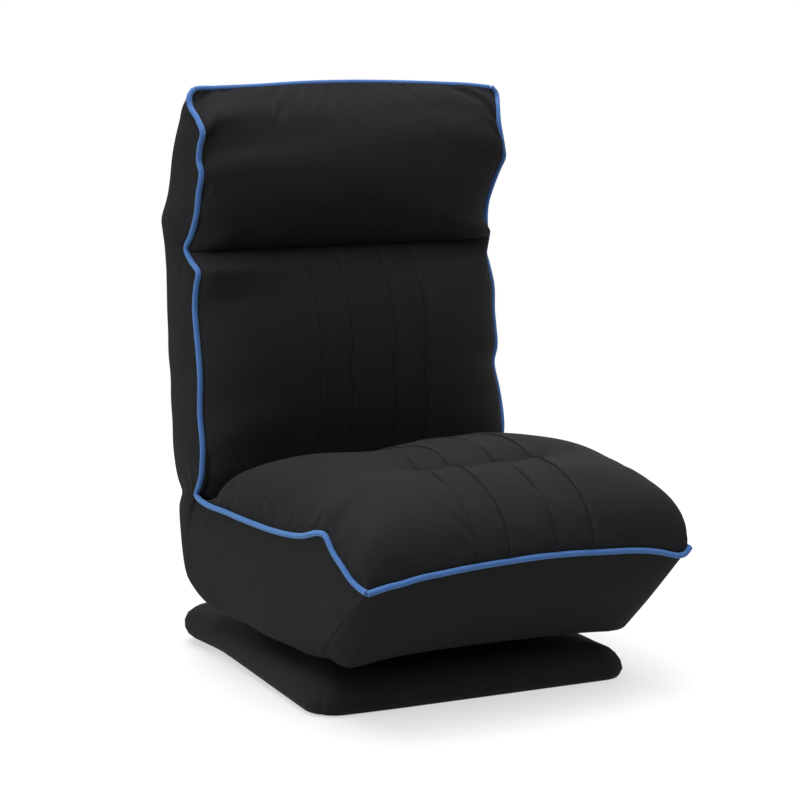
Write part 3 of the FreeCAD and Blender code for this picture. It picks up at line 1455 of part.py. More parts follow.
def export_seat():
    export("turntable_upper_plate", upper_plate())
    export("turntable_upper_bolts", upper_bolts())
    export("seat_rail_right", seat_rail())
    export("seat_rail_left", mirrored(seat_rail()))
    export("seat_front_tube", seat_cross_tube(FRONT_TUBE_Y))
    export("seat_rear_tube", seat_cross_tube(REAR_TUBE_Y))
    export("seat_crossbars", both_sides(swivel_crossbar()))
    export("seat_straps", seat_straps())
    export("seat_foam", seat_foam(seat_frame_channels()))
    export("seat_boxing", seat_boxing())
    export("seat_dust_cloth", dust_cloth())
    export("seat_pad", seat_pad())
    export("seat_piping", seat_piping())


def export_back():
    export("back_rail_right", back_rail())
    export("back_rail_left", mirrored(back_rail()))
    export("back_lower_tube", back_cross_tube(BACK_LOW_TUBE_U))
    export("back_upper_tube", back_cross_tube(BACK_HIGH_TUBE_U))
    export("back_straps", back_straps())
    export("back_foam", back_foam(back_frame_channels()))
    export("back_cover", back_cover().cut(leaf_slots()).cut(back_rail_channels()))
    export("back_pad", back_pad())
    export("back_piping", both_sides(back_piping()))


def export_head():
    export("head_tube", head_frame())
    export("head_foam", head_foam(head_frame_channels()))
    export("head_cover", head_cover())
    export("head_pillow", head_pillow())
    export("head_piping", head_piping())


def export_recline_hinges():
    lever = pawl(RECLINE_AXIS, RECLINE_GEAR_RADIUS, RECLINE_PAWL_DEG, RECLINE_NOSE_DEG, GEAR_X)
    pieces = {
        "recline_seat_leaf": recline_seat_leaf(),
        "recline_back_leaf": recline_back_leaf(),
        "recline_gear": ratchet_gear(
            RECLINE_AXIS, RECLINE_GEAR_RADIUS, RECLINE_FIRST_TOOTH, GEAR_X + LEAF_GAP
        ),
        "recline_pawl": lever,
    }
    for name, solid in pieces.items():
        export(name + "_right", solid)
        export(name + "_left", mirrored(solid))
    export("recline_rivets", both_sides(rivet(RECLINE_AXIS, LEAF_INNER_X, HINGE_OUTER_X, True)))
    spring = pawl_spring(RECLINE_AXIS, RECLINE_GEAR_RADIUS, RECLINE_PAWL_DEG, -1, GEAR_X)
    export("recline_pawl_springs", both_sides(spring))
    pin = pawl_pin(RECLINE_AXIS, RECLINE_GEAR_RADIUS, RECLINE_PAWL_DEG, LEAF_INNER_X, GEAR_X + GEAR)
    export("recline_pawl_pins", both_sides(pin))
    export("recline_seat_bolts", leaf_bolts(
        seat_leaf_bolt_points(), LEAF_INNER_X - 2 * TUBE_WALL, GEAR_X
    ))
    export("recline_back_bolts", leaf_bolts(
        back_leaf_bolt_points(), OUTER_LEAF_X - 2 * TUBE_WALL, HINGE_OUTER_X
    ))


def export_head_hinges():
    gear = ratchet_gear(HEAD_AXIS, HEAD_GEAR_RADIUS, HEAD_FIRST_TOOTH, GEAR_X)
    lever = pawl(HEAD_AXIS, HEAD_GEAR_RADIUS, HEAD_PAWL_DEG, HEAD_NOSE_DEG, GEAR_X + LEAF_GAP)
    export("head_back_leaves", both_sides(head_back_leaf()))
    export("head_leaves", both_sides(head_leaf()))
    export("head_gears", both_sides(gear))
    export("head_pawls", both_sides(lever))
    export("head_rivets", both_sides(rivet(HEAD_AXIS, LEAF_INNER_X, HINGE_OUTER_X, False)))
    spring = pawl_spring(HEAD_AXIS, HEAD_GEAR_RADIUS, HEAD_PAWL_DEG, -1, GEAR_X + LEAF_GAP)
    export("head_pawl_springs", both_sides(spring))
    pin = pawl_pin(HEAD_AXIS, HEAD_GEAR_RADIUS, HEAD_PAWL_DEG, GEAR_X + LEAF_GAP, HINGE_OUTER_X)
    export("head_pawl_pins", both_sides(pin))
    export("head_back_bolts", leaf_bolts(
        head_fixed_bolt_points(), OUTER_LEAF_X - 2 * TUBE_WALL, HINGE_OUTER_X
    ))
    export("head_bolts", leaf_bolts(
        head_leaf_bolt_points(), LEAF_INNER_X - 2 * TUBE_WALL, GEAR_X
    ))


os.makedirs("parts", exist_ok=True)
export_base()
export_seat()
export_back()
export_head()
export_recline_hinges()
export_head_hinges()
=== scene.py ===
"""Looks of a floor gaming chair: quilted charcoal covers, blue piping, puffy swivel base.

The soft covers are grids in the chair's own frame: X across, the sitter faces -Y, Z up.
Sizes in the outlines are millimetres, and MM turns them into metres.
"""

import json
import math

import bpy
import numpy as np
from bpy.props import FloatProperty, FloatVectorProperty, IntProperty, PointerProperty
from mathutils import Euler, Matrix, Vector


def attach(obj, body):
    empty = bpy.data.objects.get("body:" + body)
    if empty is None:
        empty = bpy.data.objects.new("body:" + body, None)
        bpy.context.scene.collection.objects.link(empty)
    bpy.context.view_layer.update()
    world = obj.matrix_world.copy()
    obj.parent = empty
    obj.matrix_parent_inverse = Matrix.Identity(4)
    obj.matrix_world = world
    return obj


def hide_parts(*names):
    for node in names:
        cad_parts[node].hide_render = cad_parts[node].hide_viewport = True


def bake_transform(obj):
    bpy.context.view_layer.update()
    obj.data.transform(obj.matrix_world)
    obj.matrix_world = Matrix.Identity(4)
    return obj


bl_info = {
    "name": "Floor Gaming Chair",
    "version": (1, 0, 0),
    "blender": (4, 5, 0),
    "location": "View3D > Sidebar > Chair",
    "description": "Builds the padded covers, piping and finishes of a floor gaming chair",
    "category": "Object",
}

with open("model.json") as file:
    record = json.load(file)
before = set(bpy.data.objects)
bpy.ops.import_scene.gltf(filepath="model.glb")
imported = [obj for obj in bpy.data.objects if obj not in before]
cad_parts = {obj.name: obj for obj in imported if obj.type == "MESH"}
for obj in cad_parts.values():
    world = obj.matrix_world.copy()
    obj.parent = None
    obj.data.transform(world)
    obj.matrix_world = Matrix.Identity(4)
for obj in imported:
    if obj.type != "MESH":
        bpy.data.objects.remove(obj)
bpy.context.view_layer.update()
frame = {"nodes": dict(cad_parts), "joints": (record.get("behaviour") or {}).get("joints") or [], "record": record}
JOINTS = {joint["name"]: joint for joint in frame["joints"]}

MM = 0.001
RECLINE_AXIS = Vector(JOINTS["recline"]["pos_m"])
HEAD_AXIS = Vector(JOINTS["head_tilt"]["pos_m"])
LEAN = math.atan2(HEAD_AXIS.y - RECLINE_AXIS.y, HEAD_AXIS.z - RECLINE_AXIS.z)

# Stations along the side covers, from the front corner of the seat over the crease to the head's top
CREASE = 10.0
SPLIT = 15.0
HEAD_CREASE = 20.0
TOP = 28.0

# Piped seams: station, y, z and distance from the middle plane
SEAM_X = 273.0
LEFT_SEAM = [
    (0.0, -368, 210, 273), (0.6, -350, 213, 273), (1.4, -326, 221, 273), (2.1, -303, 235, 273),
    (2.8, -279, 250, 273), (3.4, -260, 268, 273), (4.1, -238, 269, 273), (5.0, -190, 256, 273),
    (6.2, -105, 249, 273), (7.0, -40, 249, 273), (8.0, 36, 251, 273), (9.0, 94, 252, 273),
    (9.6, 121, 256, 272), (10.0, 133, 261, 270), (10.4, 127, 271, 270), (11.0, 116, 284, 272),
    (11.5, 109, 297, 273), (12.0, 107, 310, 273), (13.0, 105, 340, 273), (14.0, 112, 388, 273),
    (15.0, 110, 440, 273), (16.0, 115, 484, 273), (17.0, 121, 518, 273), (17.8, 124, 547, 273),
    (18.6, 118, 580, 273), (19.0, 113, 599, 272), (19.5, 138, 613, 270), (20.0, 157, 629, 269),
    (20.8, 138, 654, 270), (21.8, 116, 687, 272), (22.8, 107, 717, 273), (23.7, 97, 746, 273),
    (24.6, 105, 767, 273), (25.3, 101, 787, 273), (26.0, 92, 808, 273), (26.6, 108, 827, 273),
    (27.3, 131, 846, 273), (27.7, 136, 860, 271), (28.0, 138, 869, 263),
]
RIGHT_SEAM = [
    (0.0, -370, 208, 273), (0.8, -352, 211, 273), (1.8, -318, 228, 273), (2.8, -283, 248, 273),
    (3.6, -254, 262, 273), (4.4, -222, 262, 273), (5.4, -160, 251, 273), (6.6, -70, 248, 273),
    (8.0, 36, 249, 272), (9.0, 94, 251, 270), (10.0, 131, 259, 266), (10.6, 122, 273, 265),
    (11.4, 108, 295, 264), (12.2, 102, 322, 264), (12.8, 108, 345, 266), (13.2, 112, 360, 266),
    (13.8, 113, 386, 261), (14.6, 118, 424, 255), (15.4, 120, 454, 262), (16.0, 125, 480, 263),
    (16.6, 128, 505, 262), (17.6, 130, 547, 262), (18.6, 132, 583, 254), (19.2, 143, 600, 256),
    (19.7, 149, 612, 262), (20.0, 146, 627, 263), (20.6, 138, 645, 254), (21.4, 137, 675, 254),
    (22.4, 128, 707, 258), (23.2, 120, 736, 266), (23.8, 108, 754, 267), (24.5, 103, 773, 262),
    (25.2, 102, 789, 258), (26.0, 106, 812, 256), (26.8, 118, 836, 262), (27.3, 131, 847, 270),
    (27.7, 136, 857, 270), (28.0, 138, 865, 263),
]
# Piped seams across the chair, from left to right: x, y, z
FRONT_SEAM = [
    (-273, -368, 210), (-262, -371, 213), (-245, -372, 216), (-224, -372, 218), (-195, -372, 222),
    (-160, -372, 224), (-107, -373, 227), (-47, -373, 228), (15, -373, 228), (77, -373, 225),
    (125, -372, 221), (174, -372, 217), (206, -372, 212), (223, -372, 208), (240, -372, 203),
    (256, -372, 200), (266, -371, 202), (273, -370, 208),
]
TOP_SEAM = [
    (-273, 138, 867), (-262, 138, 870), (-230, 137, 871), (-154, 137, 873), (-85, 137, 876),
    (-15, 137, 877), (94, 137, 875), (168, 137, 872), (225, 137, 869), (246, 137, 867),
    (263, 138, 865), (273, 138, 863),
]
# Outer edge of the side covers: bottom edge of the seat, rear edge of the back
REAR_EDGE = [
    (0.0, -218, 79, 249), (0.6, -206, 77, 251), (1.4, -188, 75.5, 253), (3.4, -142, 74.5, 256),
    (5.0, -78, 76, 258), (7.0, -5, 79, 258), (8.0, 45, 80.5, 259), (8.7, 88, 82, 260),
    (9.2, 124, 87, 262), (9.6, 156, 98, 265), (10.0, 180, 118, 269), (10.4, 190, 152, 271),
    (10.8, 196, 190, 272), (11.2, 200, 228, 272), (11.6, 196, 252, 269), (11.9, 204, 268, 271),
    (12.6, 209, 300, 275), (13.4, 212, 350, 277), (15.0, 217, 440, 277), (17.0, 223, 520, 277),
    (18.6, 226, 585, 276), (19.6, 227, 625, 276), (20.6, 231, 652, 278), (21.3, 233, 672, 279),
    (22.0, 222, 697, 277), (23.4, 209, 733, 276), (25.0, 195, 780, 276), (26.4, 176, 822, 275),
    (27.4, 157, 852, 275), (27.8, 146, 864, 270), (28.0, 142, 869, 264),
]
# Middle line of each pad, y and z, from its front or lower seam to its end
SEAT_MIDDLE = [
    (-369, 229), (-371, 244), (-364, 270), (-346, 296), (-318, 316), (-284, 330), (-250, 338),
    (-222, 342), (-190, 349), (-150, 353), (-110, 351), (-70, 345), (-30, 335), (8, 322),
    (34, 310), (46, 298), (54, 280), (64, 260), (76, 240),
]
# Along that line: share of its length, station of the side seams, the two powers of its fullness
SEAT_ROWS = [
    (0.0, 0.0, 6.0, 5.0), (0.08, 0.6, 6.5, 6.5), (0.134, 1.0, 5.6, 5.2), (0.262, 2.7, 4.2, 3.1),
    (0.376, 4.3, 4.0, 2.8), (0.508, 5.5, 4.2, 3.0), (0.653, 6.6, 5.2, 4.4), (0.8, 7.7, 6.4, 6.2),
    (0.9, 8.8, 6.5, 6.5), (1.0, 10.0, 6.5, 6.5),
]
# Lines measured from a joint's axis: distance behind it and distance up the back
BACK_MIDDLE = [
    (-58, 102), (-66, 128), (-76, 158), (-85, 190), (-94, 225), (-101, 262), (-105, 300),
    (-107, 345), (-104, 390), (-97, 424), (-87, 450), (-72, 474), (-50, 492),
]
PILLOW_MIDDLE = [
    (-50, -27), (-66, -22), (-79, -11), (-89, 4), (-98, 24), (-104, 48), (-108, 74),
    (-108, 98), (-105, 122), (-98, 146), (-88, 170), (-74, 195), (-58, 214), (-43, 229),
]
# Station of the side seams at shares of each middle line
BACK_STATIONS = [
    (0.0, CREASE), (0.12, 11.2), (0.3, 12.6), (0.6, 15.4), (0.85, 18.4), (1.0, HEAD_CREASE),
]
PILLOW_STATIONS = [
    (0.0, HEAD_CREASE), (0.2, 20.9), (0.45, 22.8), (0.7, 25.2), (0.9, 27.2), (1.0, TOP),
]
# Bow of the rear cover at stations, in metres
REAR_BOW = [
    (0, 0.0), (8.5, 0.0), (10.5, 0.006), (13, 0.01), (HEAD_CREASE, 0.01), (26, 0.006), (TOP, 0.0),
]
# Quilting seams of the seat and of the back, from left to right
SEAT_SEAMS = (-103.0, -49.0, 30.0, 94.0)
BACK_SEAMS = (-99.0, -43.0, 36.0, 95.0)
# Base: half a side, radius of its corners, and its turn in degrees
BASE_HALF = 260.0
BASE_CORNER = 48.0
BASE_TURN = -6.3
BASE_SHIFT = (6.0, -8.0)
# How far its left rear corner is pulled out
BASE_PULL = (-12.0, 4.0)
# Section of the base cover at its front right corner: distance outside its side, and height
BASE_PROFILE = [
    (-252, 52), (-160, 53), (-110, 53), (-70, 51), (-40, 46.5), (-22, 40), (-10, 31), (-3, 22),
    (0, 12), (-1, 5), (-4, 1.5), (-14, 1.0), (-60, 2), (-252, 4),
]
# and at its left rear corner, where it is blown up more
BASE_FULL_PROFILE = [
    (-252, 52), (-160, 56), (-110, 59), (-70, 61), (-42, 61), (-24, 58), (-10, 52), (-2, 43),
    (0, 33), (-2, 21), (-8, 11), (-18, 5), (-40, 3), (-252, 4),
]
# Bottom edge of the seat's front panel, from its left corner seam to its right one: x, y, z
FRONT_EDGE = [
    (-249, -218, 79), (-247, -240, 75), (-240, -256, 72.5), (-224, -262, 74.5), (-194, -262, 78),
    (-161, -261, 79.5), (-77, -262, 80), (10, -264, 78), (98, -267, 74.5), (162, -269, 71.5),
    (190, -269, 69), (219, -266, 65.5), (240, -258, 64), (254, -244, 66), (258, -228, 70),
]
# The seat's right front corner seam ends this much further out, forward and up than its left one
FRONT_SHIFT = (9.0, -10.0, -9.0)
# Cross stitched tuft line of the seat pad
TUFT_Y = -222.0
TUFT_HALF_WIDTH = 140.0
TUFT_DEPTH = 9.0
# Soft hollows in the rear of the seat pad: place, width and depth
REAR_HOLLOWS = ((-85.0, 65.0, 12.0), (200.0, 50.0, 9.0))
# Studio: floor, world brightness all round, more of it overhead and behind the chair, and lamps
FLOOR_RADIUS = 2.4
FLOOR_GLOW = 0.55
WORLD_BASE = 0.2
WORLD_ABOVE = 2.0
WORLD_BEHIND = 0.8
LAMPS = (
    ("key", (-3.2, 0.5, 0.7), 2.0, 56.0), ("front", (-0.8, -1.6, 3.4), 1.6, 30.0),
    ("top", (-0.2, 0.2, 3.4), 2.4, 100.0),
)
# Camera: place in metres, degrees down and round, lens, and the way it looks over the floor
CAMERA_PLACE = (-1.8995, -3.0453, 0.9676)
CAMERA_DOWN = 8.98
CAMERA_TURN = -32.06
CAMERA_LENS = 107.7
CAMERA_AHEAD = (0.5308, 0.8475, 0.0)
# Station at which the stitched front corner seam ends at its foot
CORNER_FOOT = 1.1
# Stitches: along the seam, then share of a stitch, its width there and its lift, in radii
STITCH_PITCH = 4.2
STITCH_LENGTH = 3.8
STITCH_RADIUS = 0.65
STITCH_RINGS = (
    (0.0, 0.35, -0.9), (0.16, 0.9, 0.0), (0.5, 1.0, 0.5), (0.84, 0.9, 0.0), (1.0, 0.35, -0.9),
)
STITCH_SIDES = 6
# Pads: quilted share of the half width, width of a column, columns at each edge, least depth
QUILTED_SHARE = 0.56
COLUMN_WIDTH = 4.5
EDGE_COLUMNS = 26
PAD_WALL = 0.012
# Covers: turned edge and swell in metres, points along a section, and stations
TURN_RADIUS = 0.012
WALL_SWELL = 0.005
WALL_POINTS = 22
TURN_POINTS = 8
FLAT_POINTS = 26
COVER_STEP = 0.125
PIPING_STEPS = 20
# Base cover: points along its section, and round each corner and along each side
BASE_ROWS = 48
SIDE_POINTS = 30


class ChairColours(bpy.types.PropertyGroup):
    """Colours of the chair's finishes."""

    fabric: FloatVectorProperty(
        name="Fabric", description="Charcoal woven cover", subtype="COLOR",
        default=(0.0062, 0.0063, 0.0070), min=0, max=1,
    )
    piping: FloatVectorProperty(
        name="Piping", description="Piping along the seams", subtype="COLOR",
        default=(0.034, 0.088, 0.245), min=0, max=1,
    )
    # Thread colour: darker than the fabric and matte, painted shade of the narrow seam slits on top of the real
    # stitches
    thread: FloatVectorProperty(
        name="Thread", description="Black sewing thread of the quilting", subtype="COLOR",
        default=(0.0022, 0.0022, 0.0025), min=0, max=1,
    )


class ChairSizes(bpy.types.PropertyGroup):
    """Sizes of the chair's soft parts."""

    piping_radius: FloatProperty(
        name="Piping radius", description="Radius of the piping cord", unit="LENGTH",
        default=0.0042, min=0.002, max=0.008,
    )
    seam_depth: FloatProperty(
        name="Seam depth", description="How deep the quilting seams lie under the lobes",
        unit="LENGTH", default=0.0055, min=0, max=0.012,
    )
    swell: FloatProperty(
        name="Swell", description="How far the stuffing may push the fabric out", unit="LENGTH",
        default=0.006, min=0, max=0.03,
    )
    wrinkle: FloatProperty(
        name="Wrinkle height", description="Height of the soft waves in the covers",
        unit="LENGTH", default=0.0011, min=0, max=0.006,
    )
    frames: IntProperty(
        name="Simulation frames", description="Steps that the stuffing is blown up for",
        default=20, min=2, max=60,
    )


# Curves and grids

def smooth(t):
    """Eases from 0 to 1."""
    t = np.clip(t, 0.0, 1.0)
    return t * t * (3 - 2 * t)


def bell(gap, width):
    """Soft bump, 1 where the gap is 0."""
    return np.exp(-((gap / width) ** 2))


def run_lengths(points):
    """Length along a line up to each of its points."""
    return np.concatenate([[0], np.cumsum(np.linalg.norm(np.diff(points, axis=0), axis=1))])


def spline(keys, at):
    """Smooth values at the given parameters through rows of (parameter, value, ...)."""
    rows = np.array(keys, float)
    k, v = rows[:, 0], rows[:, 1:]
    step = np.diff(k)[:, None]
    slope = np.diff(v, axis=0) / step
    inner = (slope[:-1] * step[1:] + slope[1:] * step[:-1]) / (step[1:] + step[:-1])
    tangent = np.vstack([slope[:1], inner, slope[-1:]])
    i = np.clip(np.searchsorted(k, at, side="right") - 1, 0, len(k) - 2)
    h = step[i]
    t = ((at - k[i])[:, None]) / h
    t2, t3 = t * t, t * t * t
    return (
        (2 * t3 - 3 * t2 + 1) * v[i] + (t3 - 2 * t2 + t) * h * tangent[i]
        + (3 * t2 - 2 * t3) * v[i + 1] + (t3 - t2) * h * tangent[i + 1]
    )


def along(points, share):
    """Points of a smooth curve at shares of its length."""
    rows = np.array(points, float)
    lengths = run_lengths(rows)
    keys = np.column_stack([lengths / lengths[-1], rows])
    return spline(keys, np.asarray(share, float))


def from_axis(axis, points):
    """Points (y, z) in metres of points measured behind and up from a joint's axis."""
    v, u = np.array(points, float).T * MM
    y = axis.y + v * math.cos(LEAN) + u * math.sin(LEAN)
    z = axis.z - v * math.sin(LEAN) + u * math.cos(LEAN)
    return np.column_stack([y, z])


def seam(side, stations):
    """Points (x, y, z) of the piped seam on one side, -1 left or 1 right."""
    y, z, x = spline(LEFT_SEAM if side < 0 else RIGHT_SEAM, stations).T * MM
    return np.column_stack([side * x, y, z])


def across(route, x):
    """Points (x, y, z) of a seam that runs across the chair, at the given x in metres."""
    y, z = spline(route, x / MM).T * MM
    return np.column_stack([x, y, z])


def rear_edge(side, stations):
    """Points (x, y, z) of the side cover's outer edge."""
    y, z, x = spline(REAR_EDGE, stations).T * MM
    shift = np.outer(smooth((3.4 - stations) / 3.4), FRONT_SHIFT) * MM * (side > 0)
    return np.column_stack([side * x, y, z]) + shift


def waves(points, size, seed):
    """Smooth irregular values from -1 to 1 at points, with hills about size apart."""
    rng = np.random.default_rng(seed)
    total = np.zeros(len(points))
    for _ in range(14):
        direction = rng.normal(size=3)
        direction /= np.linalg.norm(direction)
        rate = 2 * math.pi / (size * rng.uniform(0.7, 1.6))
        total += np.sin(points @ direction * rate + rng.uniform(0, 2 * math.pi))
    return total / 5.0


def hills(grid, sizes, share, seeds):
    """Waves over a grid: wide ones, and a share of narrow ones."""
    flat = grid.reshape(-1, 3)
    total = waves(flat, sizes[0], seeds[0]) + share * waves(flat, sizes[1], seeds[1])
    return total.reshape(grid.shape[:2])


def grid_faces(rows, columns, around=False, first=0, flip=False):
    """Faces of a grid of points, closed across its columns if around."""
    faces = []
    for i in range(rows - 1):
        for j in range(columns if around else columns - 1):
            k = (j + 1) % columns
            face = [i * columns + j, i * columns + k, (i + 1) * columns + k, (i + 1) * columns + j]
            faces.append([first + n for n in (face[::-1] if flip else face)])
    return faces


def grid_normals(points):
    """Unit normals of a grid of points."""
    normal = np.cross(np.gradient(points, axis=0), np.gradient(points, axis=1))
    return normal / np.maximum(np.linalg.norm(normal, axis=2, keepdims=True), 1e-12)


def new_mesh(name, points, faces, material):
    """Smooth mesh object in the scene."""
    mesh = bpy.data.meshes.new(name)
    mesh.from_pydata(np.asarray(points).reshape(-1, 3).tolist(), [], faces)
    mesh.polygons.foreach_set("use_smooth", [True] * len(mesh.polygons))
    mesh.materials.append(material)
    mesh.update()
    piece = bpy.data.objects.new(name, mesh)
    bpy.context.scene.collection.objects.link(piece)
    return piece


def vertices(mesh):
    """Places of a mesh's vertices, one row each."""
    flat = np.empty(len(mesh.vertices) * 3)
    mesh.vertices.foreach_get("co", flat)
    return flat.reshape(-1, 3)


def tube(name, path, radius, material, sides=12):
    """Round cord along a path of points."""
    path = np.asarray(path)
    tangent = np.gradient(path, axis=0)
    tangent /= np.linalg.norm(tangent, axis=1, keepdims=True)
    side = np.cross(tangent[0], (0.0, 0.3, 1.0))
    turn = np.linspace(0, 2 * math.pi, sides, endpoint=False)[:, None]
    rings = []
    for point, forward in zip(path, tangent):
        side = side - forward * side.dot(forward)
        side /= np.linalg.norm(side)
        up = np.cross(forward, side)
        rings.append(point + radius * (np.cos(turn) * side + np.sin(turn) * up))
    points = np.concatenate([np.array(rings).reshape(-1, 3), path[[0, -1]]])
    faces = grid_faces(len(path), sides, around=True)
    last = (len(path) - 1) * sides
    middle = len(path) * sides
    faces += [[middle, (j + 1) % sides, j] for j in range(sides)]
    faces += [[middle + 1, last + j, last + (j + 1) % sides] for j in range(sides)]
    return new_mesh(name, points, faces, material)


# Materials

class Nodes:
    """Short way to build the node tree of a material or of the world."""

    def __init__(self, name, world=False):
        self.material = (bpy.data.worlds if world else bpy.data.materials).new(name)
        self.material.use_nodes = True
        self.tree = self.material.node_tree
        self.shader = self.tree.nodes["Background" if world else "Principled BSDF"]

    def add(self, kind, inputs=None, **settings):
        """New node with its settings, and its inputs set to values or linked to outputs."""
        node = self.tree.nodes.new(kind)
        for key, value in settings.items():
            setattr(node, key, value)
        for key, value in (inputs or {}).items():
            self.put(node, key, value)
        return node

    def put(self, node, key, value):
        """Sets an input, or links it if the value is another node's output."""
        if isinstance(value, bpy.types.NodeSocket):
            self.tree.links.new(value, node.inputs[key])
        else:
            node.inputs[key].default_value = value

    def surface(self, **values):
        """Sets the shader's own sockets by name, with _ for a space."""
        for key, value in values.items():
            self.put(self.shader, key.replace("_", " "), value)

    def maths(self, operation, *values):
        """Output of a Math node."""
        node = self.add("ShaderNodeMath", operation=operation)
        for i, value in enumerate(values):
            self.put(node, i, value)
        return node.outputs[0]

    def toward(self, value, direction):
        """How far a vector output reaches in a direction."""
        node = self.add("ShaderNodeVectorMath", {0: value, 1: direction}, operation="DOT_PRODUCT")
        return node.outputs["Value"]

    def ease(self, value, low, high):
        """Eases from 0 to 1 while a value goes from low to high."""
        inputs = {"Value": value, "From Min": low, "From Max": high}
        node = self.add("ShaderNodeMapRange", inputs, interpolation_type="SMOOTHSTEP")
        return node.outputs["Result"]

    def place(self):
        """Object coordinates, in metres."""
        return self.add("ShaderNodeTexCoord").outputs["Object"]

    def noise(self, scale, detail=2.0, roughness=0.5):
        """Output of a noise texture on the object's coordinates."""
        return self.add("ShaderNodeTexNoise", {
            "Vector": self.place(), "Scale": scale, "Detail": detail, "Roughness": roughness,
        }).outputs["Fac"]

    def ramp(self, value, low, high):
        """Colour between two colours by a value from 0 to 1."""
        node = self.add("ShaderNodeValToRGB", {"Fac": value})
        for element, colour in zip(node.color_ramp.elements, (low, high)):
            element.color = (*colour, 1.0)
        return node.outputs["Color"]

    def bump(self, height, distance, strength=1.0, normal=None):
        """Normal output of a Bump node."""
        inputs = {"Height": height, "Distance": distance, "Strength": strength}
        if normal is not None:
            inputs["Normal"] = normal
        return self.add("ShaderNodeBump", inputs).outputs["Normal"]

    def weave(self, threads):
        """Height of a plain weave with so many threads per metre, on whichever way a face looks."""
        parts = self.add("ShaderNodeSeparateXYZ", {"Vector": self.place()}).outputs
        facing = self.add("ShaderNodeNewGeometry").outputs["Normal"]
        turned = self.add("ShaderNodeSeparateXYZ", {"Vector": facing}).outputs
        rate = 2 * math.pi * threads
        wave = [self.maths("SINE", self.maths("MULTIPLY", parts[i], rate)) for i in range(3)]
        total = None
        for first, second, out in ((0, 1, 2), (1, 2, 0), (0, 2, 1)):
            cross = self.maths("MULTIPLY", wave[first], wave[second])
            weight = self.maths("POWER", self.maths("ABSOLUTE", turned[out]), 2.0)
            share = self.maths("MULTIPLY", cross, weight)
            total = share if total is None else self.maths("ADD", total, share)
        return total


def shades(colour, factor):
    """Colour made lighter or darker."""
    return tuple(min(1.0, c * factor) for c in colour)


def woven(name, colour, threads, fuzz, sheen, roughness=0.86):
    """Woven fabric with thread relief, mottled yarn and a little fuzz."""
    n = Nodes(name)
    yarn = n.noise(900.0, 3.0, 0.65)
    worn = n.noise(9.0, 4.0, 0.6)
    tone = n.maths("ADD", n.maths("MULTIPLY", yarn, 0.7), n.maths("MULTIPLY", worn, 0.3))
    relief = n.maths("ADD", n.weave(threads), n.maths("MULTIPLY", yarn, 1.5))
    fine = n.bump(relief, 0.00012, 0.55)
    soft = n.bump(n.noise(55.0, 3.0, 0.55), 0.0012, 0.35, fine)
    n.surface(
        Base_Color=n.ramp(tone, shades(colour, 0.62), shades(colour, 1.5)),
        Roughness=n.maths("ADD", n.maths("MULTIPLY", yarn, 0.12), roughness - 0.06),
        Normal=soft, Sheen_Weight=sheen, Sheen_Roughness=fuzz, Specular_IOR_Level=0.12,
    )
    n.shader.inputs["Sheen Tint"].default_value = (*shades(colour, 14.0), 1.0)
    return n.material


def metal(name, colour, roughness, metallic):
    """Steel or powder coat with fine grain, dust and handling marks."""
    n = Nodes(name)
    grain = n.noise(420.0, 4.0, 0.6)
    marks = n.noise(26.0, 5.0, 0.65)
    n.surface(
        Base_Color=n.ramp(marks, shades(colour, 0.7), shades(colour, 1.3)),
        Metallic=metallic,
        Roughness=n.maths("ADD", n.maths("MULTIPLY", marks, 0.2), roughness - 0.1),
        Normal=n.bump(grain, 0.00008, 0.5),
    )
    return n.material


def plastic(name, colour, roughness):
    """Moulded plastic with a fine spark texture."""
    n = Nodes(name)
    grain = n.noise(800.0, 2.0, 0.5)
    n.surface(
        Base_Color=n.ramp(n.noise(18.0, 3.0), shades(colour, 0.85), shades(colour, 1.15)),
        Roughness=roughness, Normal=n.bump(grain, 0.00005, 0.6),
    )
    return n.material


def plywood(name):
    """Birch plywood with long grain and darker plies."""
    n = Nodes(name)
    stretched = n.add("ShaderNodeMapping", {"Vector": n.place(), "Scale": (14.0, 1.2, 60.0)})
    grain = n.add("ShaderNodeTexNoise", {
        "Vector": stretched.outputs["Vector"], "Scale": 9.0, "Detail": 6.0, "Distortion": 0.8,
    }).outputs["Fac"]
    n.surface(
        Base_Color=n.ramp(grain, (0.30, 0.19, 0.10), (0.62, 0.45, 0.28)),
        Roughness=n.maths("ADD", n.maths("MULTIPLY", grain, 0.25), 0.5),
        Normal=n.bump(grain, 0.0002, 0.5),
    )
    return n.material


def webbing(name):
    """Elastic webbing with lengthwise ribs."""
    n = Nodes(name)
    parts = n.add("ShaderNodeSeparateXYZ", {"Vector": n.place()}).outputs
    ribs = n.maths("SINE", n.maths("MULTIPLY", n.maths("ADD", parts[1], parts[2]), 2600.0))
    n.surface(
        Base_Color=n.ramp(n.noise(300.0), (0.012, 0.012, 0.013), (0.04, 0.04, 0.043)),
        Roughness=0.8, Normal=n.bump(ribs, 0.0003, 0.8),
    )
    return n.material


MATERIALS = {}


